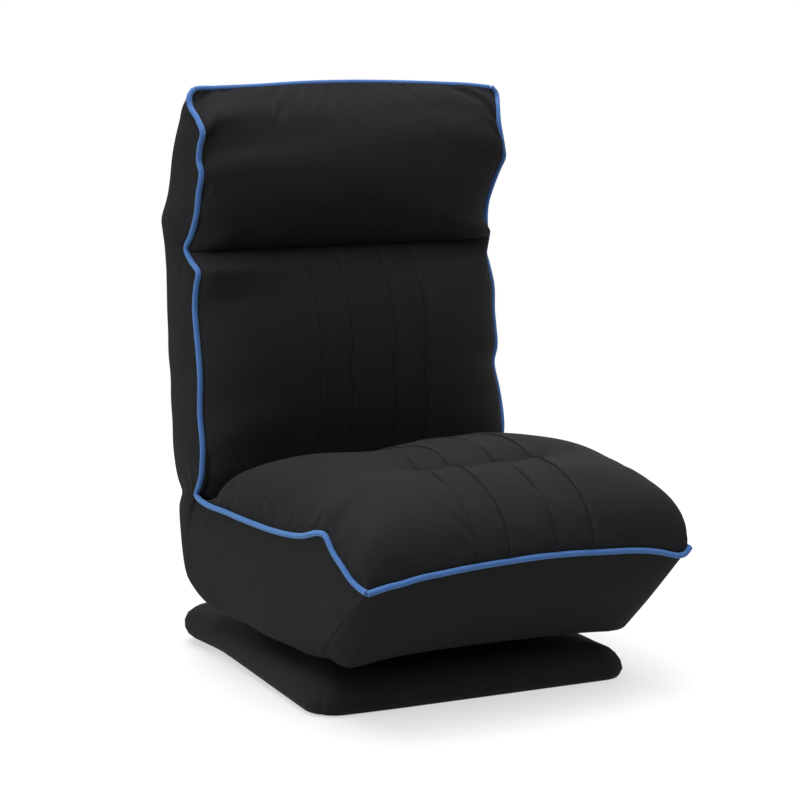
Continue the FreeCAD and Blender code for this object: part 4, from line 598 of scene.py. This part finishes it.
def make_materials(colours):
    """Every finish of the chair, by name."""
    fabric = tuple(colours.fabric)
    MATERIALS.update({
        "cover": woven("charcoal_cover_fabric", fabric, 1150.0, 0.5, 0.04),
        # Seat pad: the cover fabric made 12% lighter with a little more sheen, painted light on the top of the
        # seat
        "seat": woven("charcoal_fabric_painted_lit_seat", shades(fabric, 1.12), 1150.0, 0.5, 0.05),
        "lining": woven("black_lining_cloth", shades(fabric, 0.7), 900.0, 0.6, 0.03),
        "piping": woven("blue_piping_fabric", tuple(colours.piping), 1500.0, 0.45, 0.25, 0.7),
        # Stitch thread: real stitches, made darker than the fabric and without sheen as painted shade in the seams
        "thread": woven("quilting_thread_painted_seam_shade", tuple(colours.thread), 4000.0, 0.4, 0.0, 0.8),
        "tube": metal("black_powder_coat", (0.02, 0.02, 0.021), 0.45, 0.0),
        "steel": metal("zinc_plated_steel", (0.55, 0.55, 0.53), 0.36, 1.0),
        "plastic": plastic("black_moulded_plastic", (0.018, 0.018, 0.019), 0.5),
        "cage": plastic("natural_nylon", (0.55, 0.53, 0.47), 0.45),
        "plywood": plywood("birch_plywood"),
        "webbing": webbing("elastic_webbing_weave"),
    })


SLOT_FINISH = {
    "charcoal_fabric": "cover", "blue_piping": "piping", "seat_cloth": "lining", "foam": "lining",
    "plywood": "plywood", "elastic_webbing": "webbing", "frame_tube": "tube",
    "hinge_steel": "steel", "glide_plastic": "plastic", "cage_plastic": "cage",
}


def finish_nodes():
    """Gives every CAD piece the finish of its slot."""
    slots = {part["node"]: part["material_slot"] for part in frame["record"]["subparts"]}
    for name, node in frame["nodes"].items():
        finish = MATERIALS[SLOT_FINISH[slots[name]]]
        for slot in node.material_slots:
            slot.material = finish
        if not node.material_slots:
            node.data.materials.append(finish)


# Pads

def recline_blend(piece):
    """Bakes a cover's transform into its mesh."""
    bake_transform(piece)


def head_blend(piece):
    """Bakes a cover's transform into its mesh."""
    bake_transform(piece)


def lateral_places(seams):
    """Places across a pad from -1 to 1: on each seam, close together there and at the sides."""
    quilted = QUILTED_SHARE
    stops = [-quilted] + [mark / SEAM_X for mark in seams] + [quilted]
    places = []
    for low, high in zip(stops, stops[1:]):
        count = max(6, int((high - low) * SEAM_X / COLUMN_WIDTH))
        for k in range(count):
            share = k / count
            if -quilted < low and high < quilted:
                share = 0.5 - 0.5 * math.cos(math.pi * share)
            elif -quilted < low:
                share = 1 - math.cos(0.5 * math.pi * share)
            elif high < quilted:
                share = math.sin(0.5 * math.pi * share)
            places.append(low + (high - low) * share)
    start = math.acos(quilted ** 2)
    edge = [
        math.sqrt(math.cos(start * (1 - k / EDGE_COLUMNS) ** 2.0))
        for k in range(1, EDGE_COLUMNS + 1)
    ]
    return np.array([-a for a in reversed(edge)] + places + [quilted] + edge)


def pad_grid(stations, middle, fullness, places, seams, sizes, start=None, end=None):
    """Outer surface of a pad between the side seams, with rows along a middle line.

    The first row may start on a seam across the chair, and the last row may end on one.
    """
    left, right = seam(-1, stations), seam(1, stations)
    rows = len(middle)
    a = places[None, :, None]
    base = left[:, None] * (1 - a) / 2 + right[:, None] * (1 + a) / 2
    offset = np.zeros((rows, 1, 3))
    offset[:, 0, 1:] = middle - (left[:, 1:] + right[:, 1:]) / 2
    p, q = fullness
    a = np.abs(places)[None, :]
    rise = np.maximum(0.0, 1 - a ** p[:, None]) ** (1 / q[:, None])
    grid = base + offset * rise[:, :, None]
    share = np.linspace(0, 1, rows)
    for route, line, near in ((start, 0, share), (end, -1, 1 - share)):
        if route:
            gap = across(route, grid[line, :, 0]) - grid[line]
            grid = grid + gap[None] * (np.clip(1 - near / 0.16, 0, 1) ** 2)[:, None, None]
    normal = grid_normals(grid)
    for mark in seams:
        gap = grid[:, :, 0] - mark * MM
        dip = 0.45 * bell(gap, 0.0014) + 0.55 * bell(gap, 0.014)
        ends = smooth(share / 0.03)[:, None] * smooth((1 - share) / 0.03)[:, None]
        grid = grid - normal * (sizes.seam_depth * dip * ends)[:, :, None]
    return grid


def pad_solid(name, grid, hollow, material):
    """Closed pad: its outer grid, and an inner grid that is drawn in towards hollow."""
    rows, columns = grid.shape[:2]
    u = np.linspace(0, 1, rows)[:, None, None]
    v = np.linspace(0, 1, columns)[None, :, None]
    drawn_in = np.clip(4 * u * (1 - u), 0, 1) * np.clip(8 * v * (1 - v), 0, 1)
    inner = grid + (hollow - grid) * drawn_in ** 0.5
    edge = np.ones((rows, columns), bool)
    edge[1:-1, 1:-1] = False
    index = np.arange(rows * columns).reshape(rows, columns)
    lower = np.where(edge, index, 0)
    inside = np.arange((rows - 2) * (columns - 2)).reshape(rows - 2, -1)
    lower[1:-1, 1:-1] = rows * columns + inside
    points = np.concatenate([grid.reshape(-1, 3), inner[1:-1, 1:-1].reshape(-1, 3)])
    faces = grid_faces(rows, columns)
    faces += [[int(lower.flat[n]) for n in reversed(face)] for face in faces]
    faces = [face for face in faces if len(set(face)) == 4]
    return new_mesh(name, points, faces, material)


CLOTH_SETTINGS = {
    "quality": 6, "mass": 0.25, "tension_stiffness": 12, "compression_stiffness": 12,
    "shear_stiffness": 5, "bending_stiffness": 0.6, "use_pressure": True,
    "uniform_pressure_force": 4.0, "vertex_group_mass": "held",
}


def blow_up(piece, held, sizes, slack=-0.02, cap=None):
    """Swells a pad with cloth pressure round its held points, and keeps the simulated mesh."""
    group = piece.vertex_groups.new(name="held")
    held = np.round(held, 2)
    for weight in sorted(set(held)):
        if weight > 0:
            group.add(np.nonzero(held == weight)[0].tolist(), float(weight), "REPLACE")
    scene = bpy.context.scene
    cloth = piece.modifiers.new("stuffing", "CLOTH")
    for name, value in CLOTH_SETTINGS.items():
        setattr(cloth.settings, name, value)
    cloth.settings.shrink_min = slack
    cloth.settings.effector_weights.gravity = 0
    cloth.collision_settings.use_collision = False
    cloth.point_cache.frame_start = 1
    cloth.point_cache.frame_end = sizes.frames
    for step in range(1, sizes.frames + 1):
        scene.frame_set(step)
    rest = vertices(piece.data)
    move = vertices(piece.evaluated_get(bpy.context.evaluated_depsgraph_get()).data) - rest
    length = np.linalg.norm(move, axis=1, keepdims=True)
    most = cap or sizes.swell
    move *= most * np.tanh(length / most) / np.maximum(length, 1e-9)
    piece.data.vertices.foreach_set("co", (rest + move).ravel())
    piece.modifiers.remove(cloth)
    piece.vertex_groups.clear()
    piece.data.update()
    scene.frame_set(1)


def refine(piece):
    """Subdivides a piece once."""
    modifier = piece.modifiers.new("refine", "SUBSURF")
    modifier.levels = 1
    modifier.render_levels = 1
    with bpy.context.temp_override(object=piece, active_object=piece, selected_objects=[piece]):
        bpy.ops.object.modifier_apply(modifier=modifier.name)


def stuffed_pad(name, grid, hollow, material, held, sizes, **firmness):
    """Closed pad, blown up and subdivided."""
    piece = pad_solid(name, grid, hollow, material)
    blow_up(piece, held, sizes, **firmness)
    refine(piece)
    return piece


def stitches(name, lines):
    """Row of short thread stitches along each line, given as its points and their normals."""
    turn = np.linspace(0, 2 * math.pi, STITCH_SIDES, endpoint=False)
    radius = STITCH_RADIUS * MM
    points, faces = [], []
    for line, out in lines:
        run = run_lengths(line)
        side = np.cross(np.gradient(line, axis=0), out)
        side /= np.linalg.norm(side, axis=1, keepdims=True)
        for start in np.arange(0.006, run[-1] - 0.01, STITCH_PITCH * MM):
            first = len(points)
            for share, width, lift in STITCH_RINGS:
                at = start + share * STITCH_LENGTH * MM
                here, up, over = (
                    np.array([np.interp(at, run, values[:, k]) for k in range(3)])
                    for values in (line, out, side)
                )
                for angle in turn:
                    points.append(
                        here + up * radius * (lift + width * math.sin(angle))
                        + over * radius * width * math.cos(angle)
                    )
            faces += grid_faces(len(STITCH_RINGS), STITCH_SIDES, around=True, first=first)
            last = len(points) - STITCH_SIDES
            faces.append([first + n for n in range(STITCH_SIDES)][::-1])
            faces.append([last + n for n in range(STITCH_SIDES)])
    # The stitches take the dark thread finish, painted shade along the seams
    return new_mesh(name, points, faces, MATERIALS["thread"])


def quilting(name, piece, shape, places, seams):
    """Stitches in the quilting seams of a pad that is blown up."""
    outer = vertices(piece.data)[:shape[0] * shape[1]].reshape(*shape, 3)
    normal = grid_normals(outer)
    columns = [int(np.argmin(np.abs(places - mark / SEAM_X))) for mark in seams]
    thread = stitches(name, [(outer[:, column], normal[:, column]) for column in columns])
    recline_blend(thread)


def seat_pad_grid(sizes):
    """Grid of the seat pad, its rows' shares and its places across."""
    rows = np.linspace(0, 1, 112)
    middle = along(np.array(SEAT_MIDDLE) * MM, rows)
    stations, p, q = spline(SEAT_ROWS, rows).T
    places = lateral_places(SEAT_SEAMS)
    grid = pad_grid(stations, middle, (p, q), places, SEAT_SEAMS, sizes, start=FRONT_SEAM)
    x, y = grid[:, :, 0] / MM, grid[:, :, 1] / MM
    fade = smooth((TUFT_HALF_WIDTH - np.abs(x)) / 35.0)
    gap = y - TUFT_Y
    valley = 0.5 * bell(gap, 7.0) + 0.5 * bell(gap, 22.0)
    grid[:, :, 2] -= valley * fade * TUFT_DEPTH * MM
    worn = smooth((y + 190) / 110) * smooth((60 - y) / 60)
    for middle_x, width, depth in REAR_HOLLOWS:
        grid[:, :, 2] -= worn * depth * MM * bell(x - middle_x, width)
    return grid, rows, places


def held_lines(grid, places, seams, extra=0.0):
    """Weights that hold a pad's edges and its quilting seams while it is blown up."""
    rows, columns = grid.shape[:2]
    held = np.zeros((rows, columns))
    held[[0, -1], :] = 1.0
    held[:, [0, -1]] = 1.0
    for mark in seams:
        near = np.abs(places - mark / SEAM_X) < 1e-4
        held[:, near] = np.maximum(held[:, near], 0.9)
    inner = np.ones((rows - 2) * (columns - 2))
    return np.concatenate([np.maximum(held, extra).ravel(), inner])


class CHAIR_OT_seat_pad(bpy.types.Operator):
    """Quilted seat pad with four channels and a cross tuft line"""

    bl_idname = "chair.seat_pad"
    bl_label = "Seat Pad"

    def execute(self, context):
        sizes = context.scene.chair_sizes
        grid, rows, places = seat_pad_grid(sizes)
        hollow = grid.copy()
        hollow[:, :, 2] = np.minimum(grid[:, :, 2] - PAD_WALL, 0.245)
        hollow[:, :, 1] = np.minimum(hollow[:, :, 1], 0.07)
        x = np.abs(grid[:, :, 0])
        tuft = 0.7 * (np.abs(grid[:, :, 1] - TUFT_Y * MM) < 0.0035) * (x < 0.13)
        hidden = 1.0 * (rows > 0.93)[:, None] * np.ones_like(x)
        held = held_lines(grid, places, SEAT_SEAMS, np.maximum(tuft, hidden))
        # The seat pad wears the lighter copy of the cover fabric: painted light on the seat's top
        piece = stuffed_pad(
            "seat_cushion", grid, hollow, MATERIALS["seat"], held, sizes, slack=-0.01
        )
        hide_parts("seat_pad")
        recline_blend(piece)
        quilting("seat_stitches", piece, grid.shape[:2], places, SEAT_SEAMS)
        return {"FINISHED"}


def upright_pad_grid(axis, line, rows, route, fullness, seams, depth, sizes, end=None):
    """Grid of a pad on the back or the head, its hollow side, and its places across."""
    middle = along(from_axis(axis, line), rows)
    places = lateral_places(seams)
    stations = spline(route, rows)[:, 0]
    grid = pad_grid(stations, middle, fullness, places, seams, sizes, end=end)
    hollow = grid.copy()
    hollow[:, :, 1] = np.maximum(grid[:, :, 1] + PAD_WALL, middle[:, None, 0] + depth)
    return grid, hollow, places


class CHAIR_OT_back_pad(bpy.types.Operator):
    """Quilted pad on the front of the back"""

    bl_idname = "chair.back_pad"
    bl_label = "Back Pad"

    def execute(self, context):
        sizes = context.scene.chair_sizes
        rows = np.linspace(0, 1, 90)
        tight = smooth((rows - 0.8) / 0.16)
        fullness = (4.0 + 5.0 * tight, 1.5 + 0.9 * tight)
        grid, hollow, places = upright_pad_grid(
            RECLINE_AXIS, BACK_MIDDLE, rows, BACK_STATIONS, fullness, BACK_SEAMS, 0.04, sizes
        )
        hidden = 1.0 * (rows < 0.06)[:, None] * np.ones(grid.shape[:2])
        held = held_lines(grid, places, BACK_SEAMS, hidden)
        piece = stuffed_pad(
            "back_cushion", grid, hollow, MATERIALS["cover"], held, sizes, slack=0.0, cap=0.004
        )
        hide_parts("back_pad")
        recline_blend(piece)
        quilting("back_stitches", piece, grid.shape[:2], places, BACK_SEAMS)
        return {"FINISHED"}


class CHAIR_OT_head_pillow(bpy.types.Operator):
    """Overstuffed head pillow without quilting"""

    bl_idname = "chair.head_pillow"
    bl_label = "Head Pillow"

    def execute(self, context):
        sizes = context.scene.chair_sizes
        rows = np.linspace(0, 1, 70)
        ease = smooth((rows - 0.8) / 0.2)
        tight = smooth((0.22 - rows) / 0.18)
        fullness = (4.0 + 5.0 * tight, 1.5 - 0.5 * ease + 0.9 * tight)
        grid, hollow, places = upright_pad_grid(
            HEAD_AXIS, PILLOW_MIDDLE, rows, PILLOW_STATIONS, fullness, (), 0.03, sizes, TOP_SEAM
        )
        held = held_lines(grid, places, ())
        piece = stuffed_pad("head_pillow_cover", grid, hollow, MATERIALS["cover"], held, sizes)
        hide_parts("head_pillow")
        head_blend(piece)
        return {"FINISHED"}


# Side, bottom and rear covers

def cover_section(front_l, rear_l, front_r, rear_r, camber):
    """One section of the cover: from the left seam round the rear or bottom to the right seam."""
    points = []
    for side, front, rear in ((-1, front_l, rear_l), (1, front_r, rear_r)):
        out = np.array([side, 0, 0])
        depth = rear - front
        length = math.hypot(depth[1], depth[2])
        down = np.array([0.0, depth[1], depth[2]]) / length
        radius = min(TURN_RADIUS, 0.45 * length)
        wall = np.linspace(0, 1, WALL_POINTS)[:, None]
        swell = WALL_SWELL * min(1.0, length / 0.08) * np.sin(math.pi * wall) ** 0.8
        edge = rear - down * radius
        straight = front + (edge - front) * wall + out * swell
        turn = np.linspace(0, math.pi / 2, TURN_POINTS)[1:, None]
        bend = edge - out * radius + radius * (np.cos(turn) * out + np.sin(turn) * down)
        half = bend[-1][0]
        inward = np.linspace(1, 0, FLAT_POINTS)[1:, None]
        bow = camber * (1 - inward ** 2) ** 0.7
        flat = bend[-1] + np.array([half, 0, 0]) * (inward - 1) + down * bow
        points.append(np.concatenate([straight, bend, flat]))
    left, right = points
    middle = (left[-1] + right[-1]) / 2
    fade = np.linspace(0, 1, FLAT_POINTS - 1)[:, None] ** 2
    left[-len(fade):] += (middle - left[-1]) * fade
    right[-len(fade):] += (middle - right[-1]) * fade
    return np.concatenate([left, right[-2::-1]])


def cover_grid(sizes):
    """Grid of the side, bottom and rear cover, from the front of the seat to the head's top."""
    stations = np.linspace(0.0, TOP, int(round(TOP / COVER_STEP)) + 1)
    grid = np.array([
        cover_section(*rows)
        for rows in zip(
            seam(-1, stations), rear_edge(-1, stations), seam(1, stations), rear_edge(1, stations),
            spline(REAR_BOW, stations)[:, 0],
        )
    ])
    gap = across(TOP_SEAM, grid[-1, :, 0])[:, 2] - grid[-1, :, 2]
    grid[:, :, 2] += gap[None] * smooth((stations - 25.5) / 2.5)[:, None]
    normal = -grid_normals(grid)
    columns = np.linspace(0, 1, grid.shape[1])
    free = smooth(np.minimum(columns, 1 - columns) / 0.05)[None, :]
    rise = sizes.wrinkle * hills(grid, (0.16, 0.06), 0.5, (3, 8)) * free
    grid = grid + normal * rise[:, :, None]
    gathers = gather_height(grid) * free
    return grid + normal * gathers[:, :, None]


def at_places(grid, places):
    """Values of a grid at broken row and column numbers."""
    low = np.floor(places).astype(int)
    row, column = (places - low).T[:, :, None]
    i, j = low.T
    return (
        grid[i, j] * (1 - row) * (1 - column) + grid[i + 1, j] * row * (1 - column)
        + grid[i, j + 1] * (1 - row) * column + grid[i + 1, j + 1] * row * column
    )


def gather_height(grid):
    """Folds that run from each crease corner to the rear edge at the two hinges."""
    y, z = grid[:, :, 1], grid[:, :, 2]
    height = np.zeros_like(y)
    for corner, reach, folds, depth in (
        (RECLINE_AXIS + Vector((0, 0, 0.122)), 0.045, 9.0, 0.0016),
        (HEAD_AXIS + Vector((0, -0.02, -0.022)), 0.06, 8.0, 0.0014),
    ):
        dy, dz = y - corner.y, z - corner.z
        angle = np.arctan2(dz, dy)
        radius = np.hypot(dy, dz)
        near = bell(radius, reach) * smooth(radius / 0.02)
        height += depth * near * np.sin(angle * folds + np.sign(grid[:, :, 0]) * 0.6)
    return height


class CHAIR_OT_covers(bpy.types.Operator):
    """Side, bottom and rear covers of the seat, the back and the head"""

    bl_idname = "chair.covers"
    bl_label = "Covers"

    def execute(self, context):
        sizes = context.scene.chair_sizes
        grid = cover_grid(sizes)
        cut = int(round(SPLIT / COVER_STEP))
        for name, part, nodes, blend in (
            ("seat_and_back_cover", grid[:cut + 1],
             ("seat_boxing", "seat_foam", "back_cover", "back_foam"), recline_blend),
            ("head_and_back_cover", grid[cut:], ("head_cover", "head_foam"), head_blend),
        ):
            piece = new_mesh(name, part, grid_faces(*part.shape[:2]), MATERIALS["cover"])
            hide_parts(*nodes)
            blend(piece)
        self.front(sizes, grid[0])
        self.lining()
        normal = -grid_normals(grid)
        share = np.linspace(0, 1, 40)
        station = CORNER_FOOT * share ** 1.3 / COVER_STEP
        lines = []
        for wall in (1.0 + share * 20.0, grid.shape[1] - 2.0 - share * 20.0):
            places = np.column_stack([station, wall])
            lines.append((at_places(grid, places), at_places(normal, places)))
        thread = stitches("corner_stitches", lines)
        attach(thread, "seat")
        return {"FINISHED"}

    def lining(self):
        """Cloth between the side seams that closes the crease."""
        stations = np.linspace(7.4, 13.4, 80)
        share = np.linspace(0.004, 0.996, 40)[None, :, None]
        left, right = (seam(side, stations)[:, None] for side in (-1, 1))
        grid = left * (1 - share) + right * share - (0, 6 * MM, 6 * MM)
        piece = new_mesh("crease_lining", grid, grid_faces(*grid.shape[:2]), MATERIALS["lining"])
        recline_blend(piece)

    def front(self, sizes, section):
        """Front panel of the boxing, between the two corner seams, turned under at the bottom."""
        a = np.sin(np.linspace(-math.pi / 2, math.pi / 2, 90))
        top = across(FRONT_SEAM, a * SEAM_X * MM)
        bottom = along(np.array(FRONT_EDGE) * MM, (a + 1) / 2)
        under_edge = WALL_POINTS + TURN_POINTS - 2
        ends = section[under_edge], section[-under_edge - 1]
        inner = ends[0] * ((1 - a) / 2)[:, None] + ends[1] * ((1 + a) / 2)[:, None]
        fall, inward = bottom - top, inner - bottom
        low = bottom - TURN_RADIUS * fall / np.linalg.norm(fall, axis=1, keepdims=True)
        under = bottom + TURN_RADIUS * inward / np.linalg.norm(inward, axis=1, keepdims=True)
        side = np.sign(a) * np.abs(a) ** 9
        outward = np.column_stack([side, np.abs(side) - 1, 0 * a])
        swell = WALL_SWELL + 0.004 * (1 - side ** 2)
        rows = []
        for t in np.linspace(0, 1, 26):
            bulge = outward * (swell * math.sin(math.pi * t) ** 0.8)[:, None]
            rows.append(top + (low - top) * t + bulge)
        first, second = bottom + 0.45 * (low - bottom), bottom + 0.45 * (under - bottom)
        for t in np.linspace(0, 1, TURN_POINTS)[1:]:
            near, far = 3 * t * (1 - t) ** 2, 3 * t * t * (1 - t)
            rows.append((1 - t) ** 3 * low + near * first + far * second + t ** 3 * under)
        for t in np.linspace(0, 1, 7)[1:]:
            rows.append(under + (inner - under) * t)
        grid = np.array(rows)
        down = np.linspace(0, 1, len(rows))[:, None]
        free = smooth((1 - np.abs(a)) / 0.05)[None, :] * smooth(down / 0.08)
        free = free * smooth((0.7 - down) / 0.1)
        grid[:, :, 1] -= sizes.wrinkle * hills(grid, (0.15, 0.05), 0.4, (5, 6)) * free
        faces = grid_faces(*grid.shape[:2], flip=True)
        piece = new_mesh("seat_front_cover", grid, faces, MATERIALS["cover"])
        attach(piece, "seat")


# Piping

class CHAIR_OT_piping(bpy.types.Operator):
    """Blue piping along the seams of the seat, the back and the head"""

    bl_idname = "chair.piping"
    bl_label = "Piping"

    def execute(self, context):
        radius = context.scene.chair_sizes.piping_radius
        finish = MATERIALS["piping"]
        outward = radius * 0.6
        stations = np.linspace(0.0, TOP, int(TOP * PIPING_STEPS) + 1)
        cut = int(SPLIT * PIPING_STEPS)
        for side, name in ((-1, "left"), (1, "right")):
            whole = seam(side, stations) + (side * outward, 0, 0)
            low = tube("side_piping_" + name, whole[:cut + 1], radius, finish)
            recline_blend(low)
            high = tube("head_piping_" + name, whole[cut:], radius, finish)
            head_blend(high)
            if side < 0:
                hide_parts("seat_piping", "back_piping")
                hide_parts("head_piping")
        reach = (SEAM_X + 2.0) * MM
        x = np.sin(np.linspace(-math.pi / 2, math.pi / 2, 170)) * reach
        piece = tube("front_piping", across(FRONT_SEAM, x) - (0, outward, 0), radius, finish)
        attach(piece, "seat")
        route = across(TOP_SEAM, x * 0.955) + (0, 2 * MM, -MM)
        piece = tube("top_piping", route, radius, finish)
        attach(piece, "head")
        return {"FINISHED"}


# Base

def turned(x, y, angle):
    """Both coordinates turned about the middle."""
    c, s = math.cos(angle), math.sin(angle)
    return x * c - y * s, x * s + y * c


def rounded_square(half, corner):
    """Points (x, y) round a square with round corners."""
    corner = max(corner, 0.012)
    straight = half - corner
    angle = np.linspace(-math.pi / 4, math.pi / 4, SIDE_POINTS)
    side = np.linspace(-1, 1, SIDE_POINTS + 2)[1:-1]
    turn = np.concatenate([angle, side * 0 + math.pi / 4])
    x = straight + corner * np.cos(turn + math.pi / 4)
    y = straight + corner * np.sin(turn + math.pi / 4)
    x[SIDE_POINTS:] = -side * straight
    y[SIDE_POINTS:] = half
    quarters = [turned(x, y, k * math.pi / 2) for k in range(4)]
    return np.concatenate([np.column_stack(quarter) for quarter in quarters])


class CHAIR_OT_base(bpy.types.Operator):
    """Puffy fabric cover of the swivel base"""

    bl_idname = "chair.base"
    bl_label = "Base Cover"

    def execute(self, context):
        share = np.linspace(0, 1, BASE_ROWS)
        rows, full = along(BASE_PROFILE, share) * MM, along(BASE_FULL_PROFILE, share) * MM
        flat, more = (
            np.array([
                rounded_square(BASE_HALF * MM + inset, BASE_CORNER * MM + inset)
                for inset in profile[:, 0]
            ])
            for profile in (rows, full)
        )
        grid = np.concatenate([flat, np.zeros((*flat.shape[:2], 1)) + rows[:, 1, None, None]], 2)
        x, y = grid[:, :, 0], grid[:, :, 1]
        blown = smooth((y - x + 0.15) / 0.67)
        grid[:, :, :2] += (more - grid[:, :, :2]) * blown[:, :, None]
        grid[:, :, 2] += (full[:, 1] - rows[:, 1])[:, None] * blown
        corner = smooth((y - x - 0.36) / 0.14)
        grid[:, :, :2] += corner[:, :, None] * np.array(BASE_PULL) * MM
        fold = np.abs(np.abs(x) - np.abs(y)) / MM
        outer = smooth((np.hypot(x, y) - 0.29) / 0.02)
        dip = 1.8 * bell(fold, 4.0) * outer
        grid[:, :, :2] *= (1 - dip * MM / 0.34)[:, :, None]
        above = smooth((grid[:, :, 2] - 0.012) / 0.02)
        grid[:, :, 2] += 0.0016 * hills(grid, (0.12, 0.045), 0.5, (21, 22)) * above
        placed = turned(x, y, math.radians(BASE_TURN))
        grid[:, :, :2] = np.stack(placed, 2) + np.array(BASE_SHIFT) * MM
        faces = grid_faces(*grid.shape[:2], around=True)
        piece = new_mesh("base_padded_cover", grid, faces, MATERIALS["cover"])
        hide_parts("base_cover", "base_foam")
        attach(piece, "base")
        return {"FINISHED"}


class CHAIR_OT_finishes(bpy.types.Operator):
    """Finishes of the frame, hinges, turntable and board"""

    bl_idname = "chair.finishes"
    bl_label = "Frame Finishes"

    def execute(self, context):
        finish_nodes()
        return {"FINISHED"}


class CHAIR_OT_stage(bpy.types.Operator):
    """Glowing floor, soft studio light and the camera"""

    bl_idname = "chair.stage"
    bl_label = "Stage"

    def execute(self, context):
        scene = context.scene
        scene.view_settings.view_transform = "Standard"
        n = Nodes("glowing_floor")
        # The grey floor glows: painted light that lightens the chair's cast shadow on it, fading out on the part
        # nearest the camera
        near = n.ease(n.toward(n.place(), CAMERA_AHEAD), -1.1, -0.72)
        n.surface(
            Base_Color=n.ramp(n.noise(2.0), (0.24, 0.24, 0.24), (0.26, 0.26, 0.26)), Roughness=0.8,
            Emission_Color=(1, 1, 1, 1), Emission_Strength=n.maths("MULTIPLY", near, FLOOR_GLOW),
        )
        turn = np.linspace(0, 2 * math.pi, 96, endpoint=False)
        rim = np.column_stack([np.cos(turn), np.sin(turn), 0 * turn]) * FLOOR_RADIUS
        new_mesh("floor", rim, [list(range(96))], n.material)
        n = Nodes("studio", world=True)
        way = n.add("ShaderNodeTexCoord").outputs["Generated"]
        above = n.maths("POWER", n.maths("MAXIMUM", n.toward(way, (0, 0, 1)), 0.0), 1.5)
        behind = n.ease(n.toward(way, CAMERA_AHEAD), 0.8, 0.95)
        rest = n.maths("ADD", WORLD_BASE, n.maths("MULTIPLY", above, WORLD_ABOVE))
        n.surface(
            Color=(1, 1, 1, 1),
            Strength=n.maths("ADD", rest, n.maths("MULTIPLY", behind, WORLD_BEHIND)),
        )
        scene.world = n.material
        for name, place, size, power in LAMPS:
            light = bpy.data.lights.new(name, "AREA")
            light.energy = power
            light.size = size
            lamp = bpy.data.objects.new(name, light)
            lamp.location = place
            aim = Vector((0, 0, 0.4)) - Vector(place)
            lamp.rotation_euler = aim.to_track_quat("-Z", "Y").to_euler()
            scene.collection.objects.link(lamp)
        data = bpy.data.cameras.new("camera")
        data.lens = CAMERA_LENS
        data.sensor_width = 36
        camera = bpy.data.objects.new("camera", data)
        camera.location = CAMERA_PLACE
        camera.rotation_euler = Euler((math.radians(90 - CAMERA_DOWN), 0, math.radians(CAMERA_TURN)))
        scene.collection.objects.link(camera)
        scene.camera = camera
        return {"FINISHED"}


class CHAIR_PT_panel(bpy.types.Panel):
    """Sizes, colours and building steps of the chair"""

    bl_label = "Floor Gaming Chair"
    bl_idname = "CHAIR_PT_panel"
    bl_space_type = "VIEW_3D"
    bl_region_type = "UI"
    bl_category = "Chair"

    def draw(self, context):
        layout = self.layout
        for group in (context.scene.chair_sizes, context.scene.chair_colours):
            for name in type(group).__annotations__:
                layout.prop(group, name)
        for operator in BUILD_ORDER:
            layout.operator(operator.bl_idname)


BUILD_ORDER = (
    CHAIR_OT_stage, CHAIR_OT_finishes, CHAIR_OT_covers, CHAIR_OT_seat_pad, CHAIR_OT_back_pad,
    CHAIR_OT_head_pillow, CHAIR_OT_piping, CHAIR_OT_base,
)
CLASSES = (ChairColours, ChairSizes, *BUILD_ORDER, CHAIR_PT_panel)


def register():
    for cls in CLASSES:
        bpy.utils.register_class(cls)
    bpy.types.Scene.chair_colours = PointerProperty(type=ChairColours)
    bpy.types.Scene.chair_sizes = PointerProperty(type=ChairSizes)


def unregister():
    del bpy.types.Scene.chair_sizes
    del bpy.types.Scene.chair_colours
    for cls in reversed(CLASSES):
        bpy.utils.unregister_class(cls)


def main():
    register()
    make_materials(bpy.context.scene.chair_colours)
    for operator in BUILD_ORDER:
        group, name = operator.bl_idname.split(".")
        getattr(getattr(bpy.ops, group), name)()


if __name__ == "__main__":
    main()
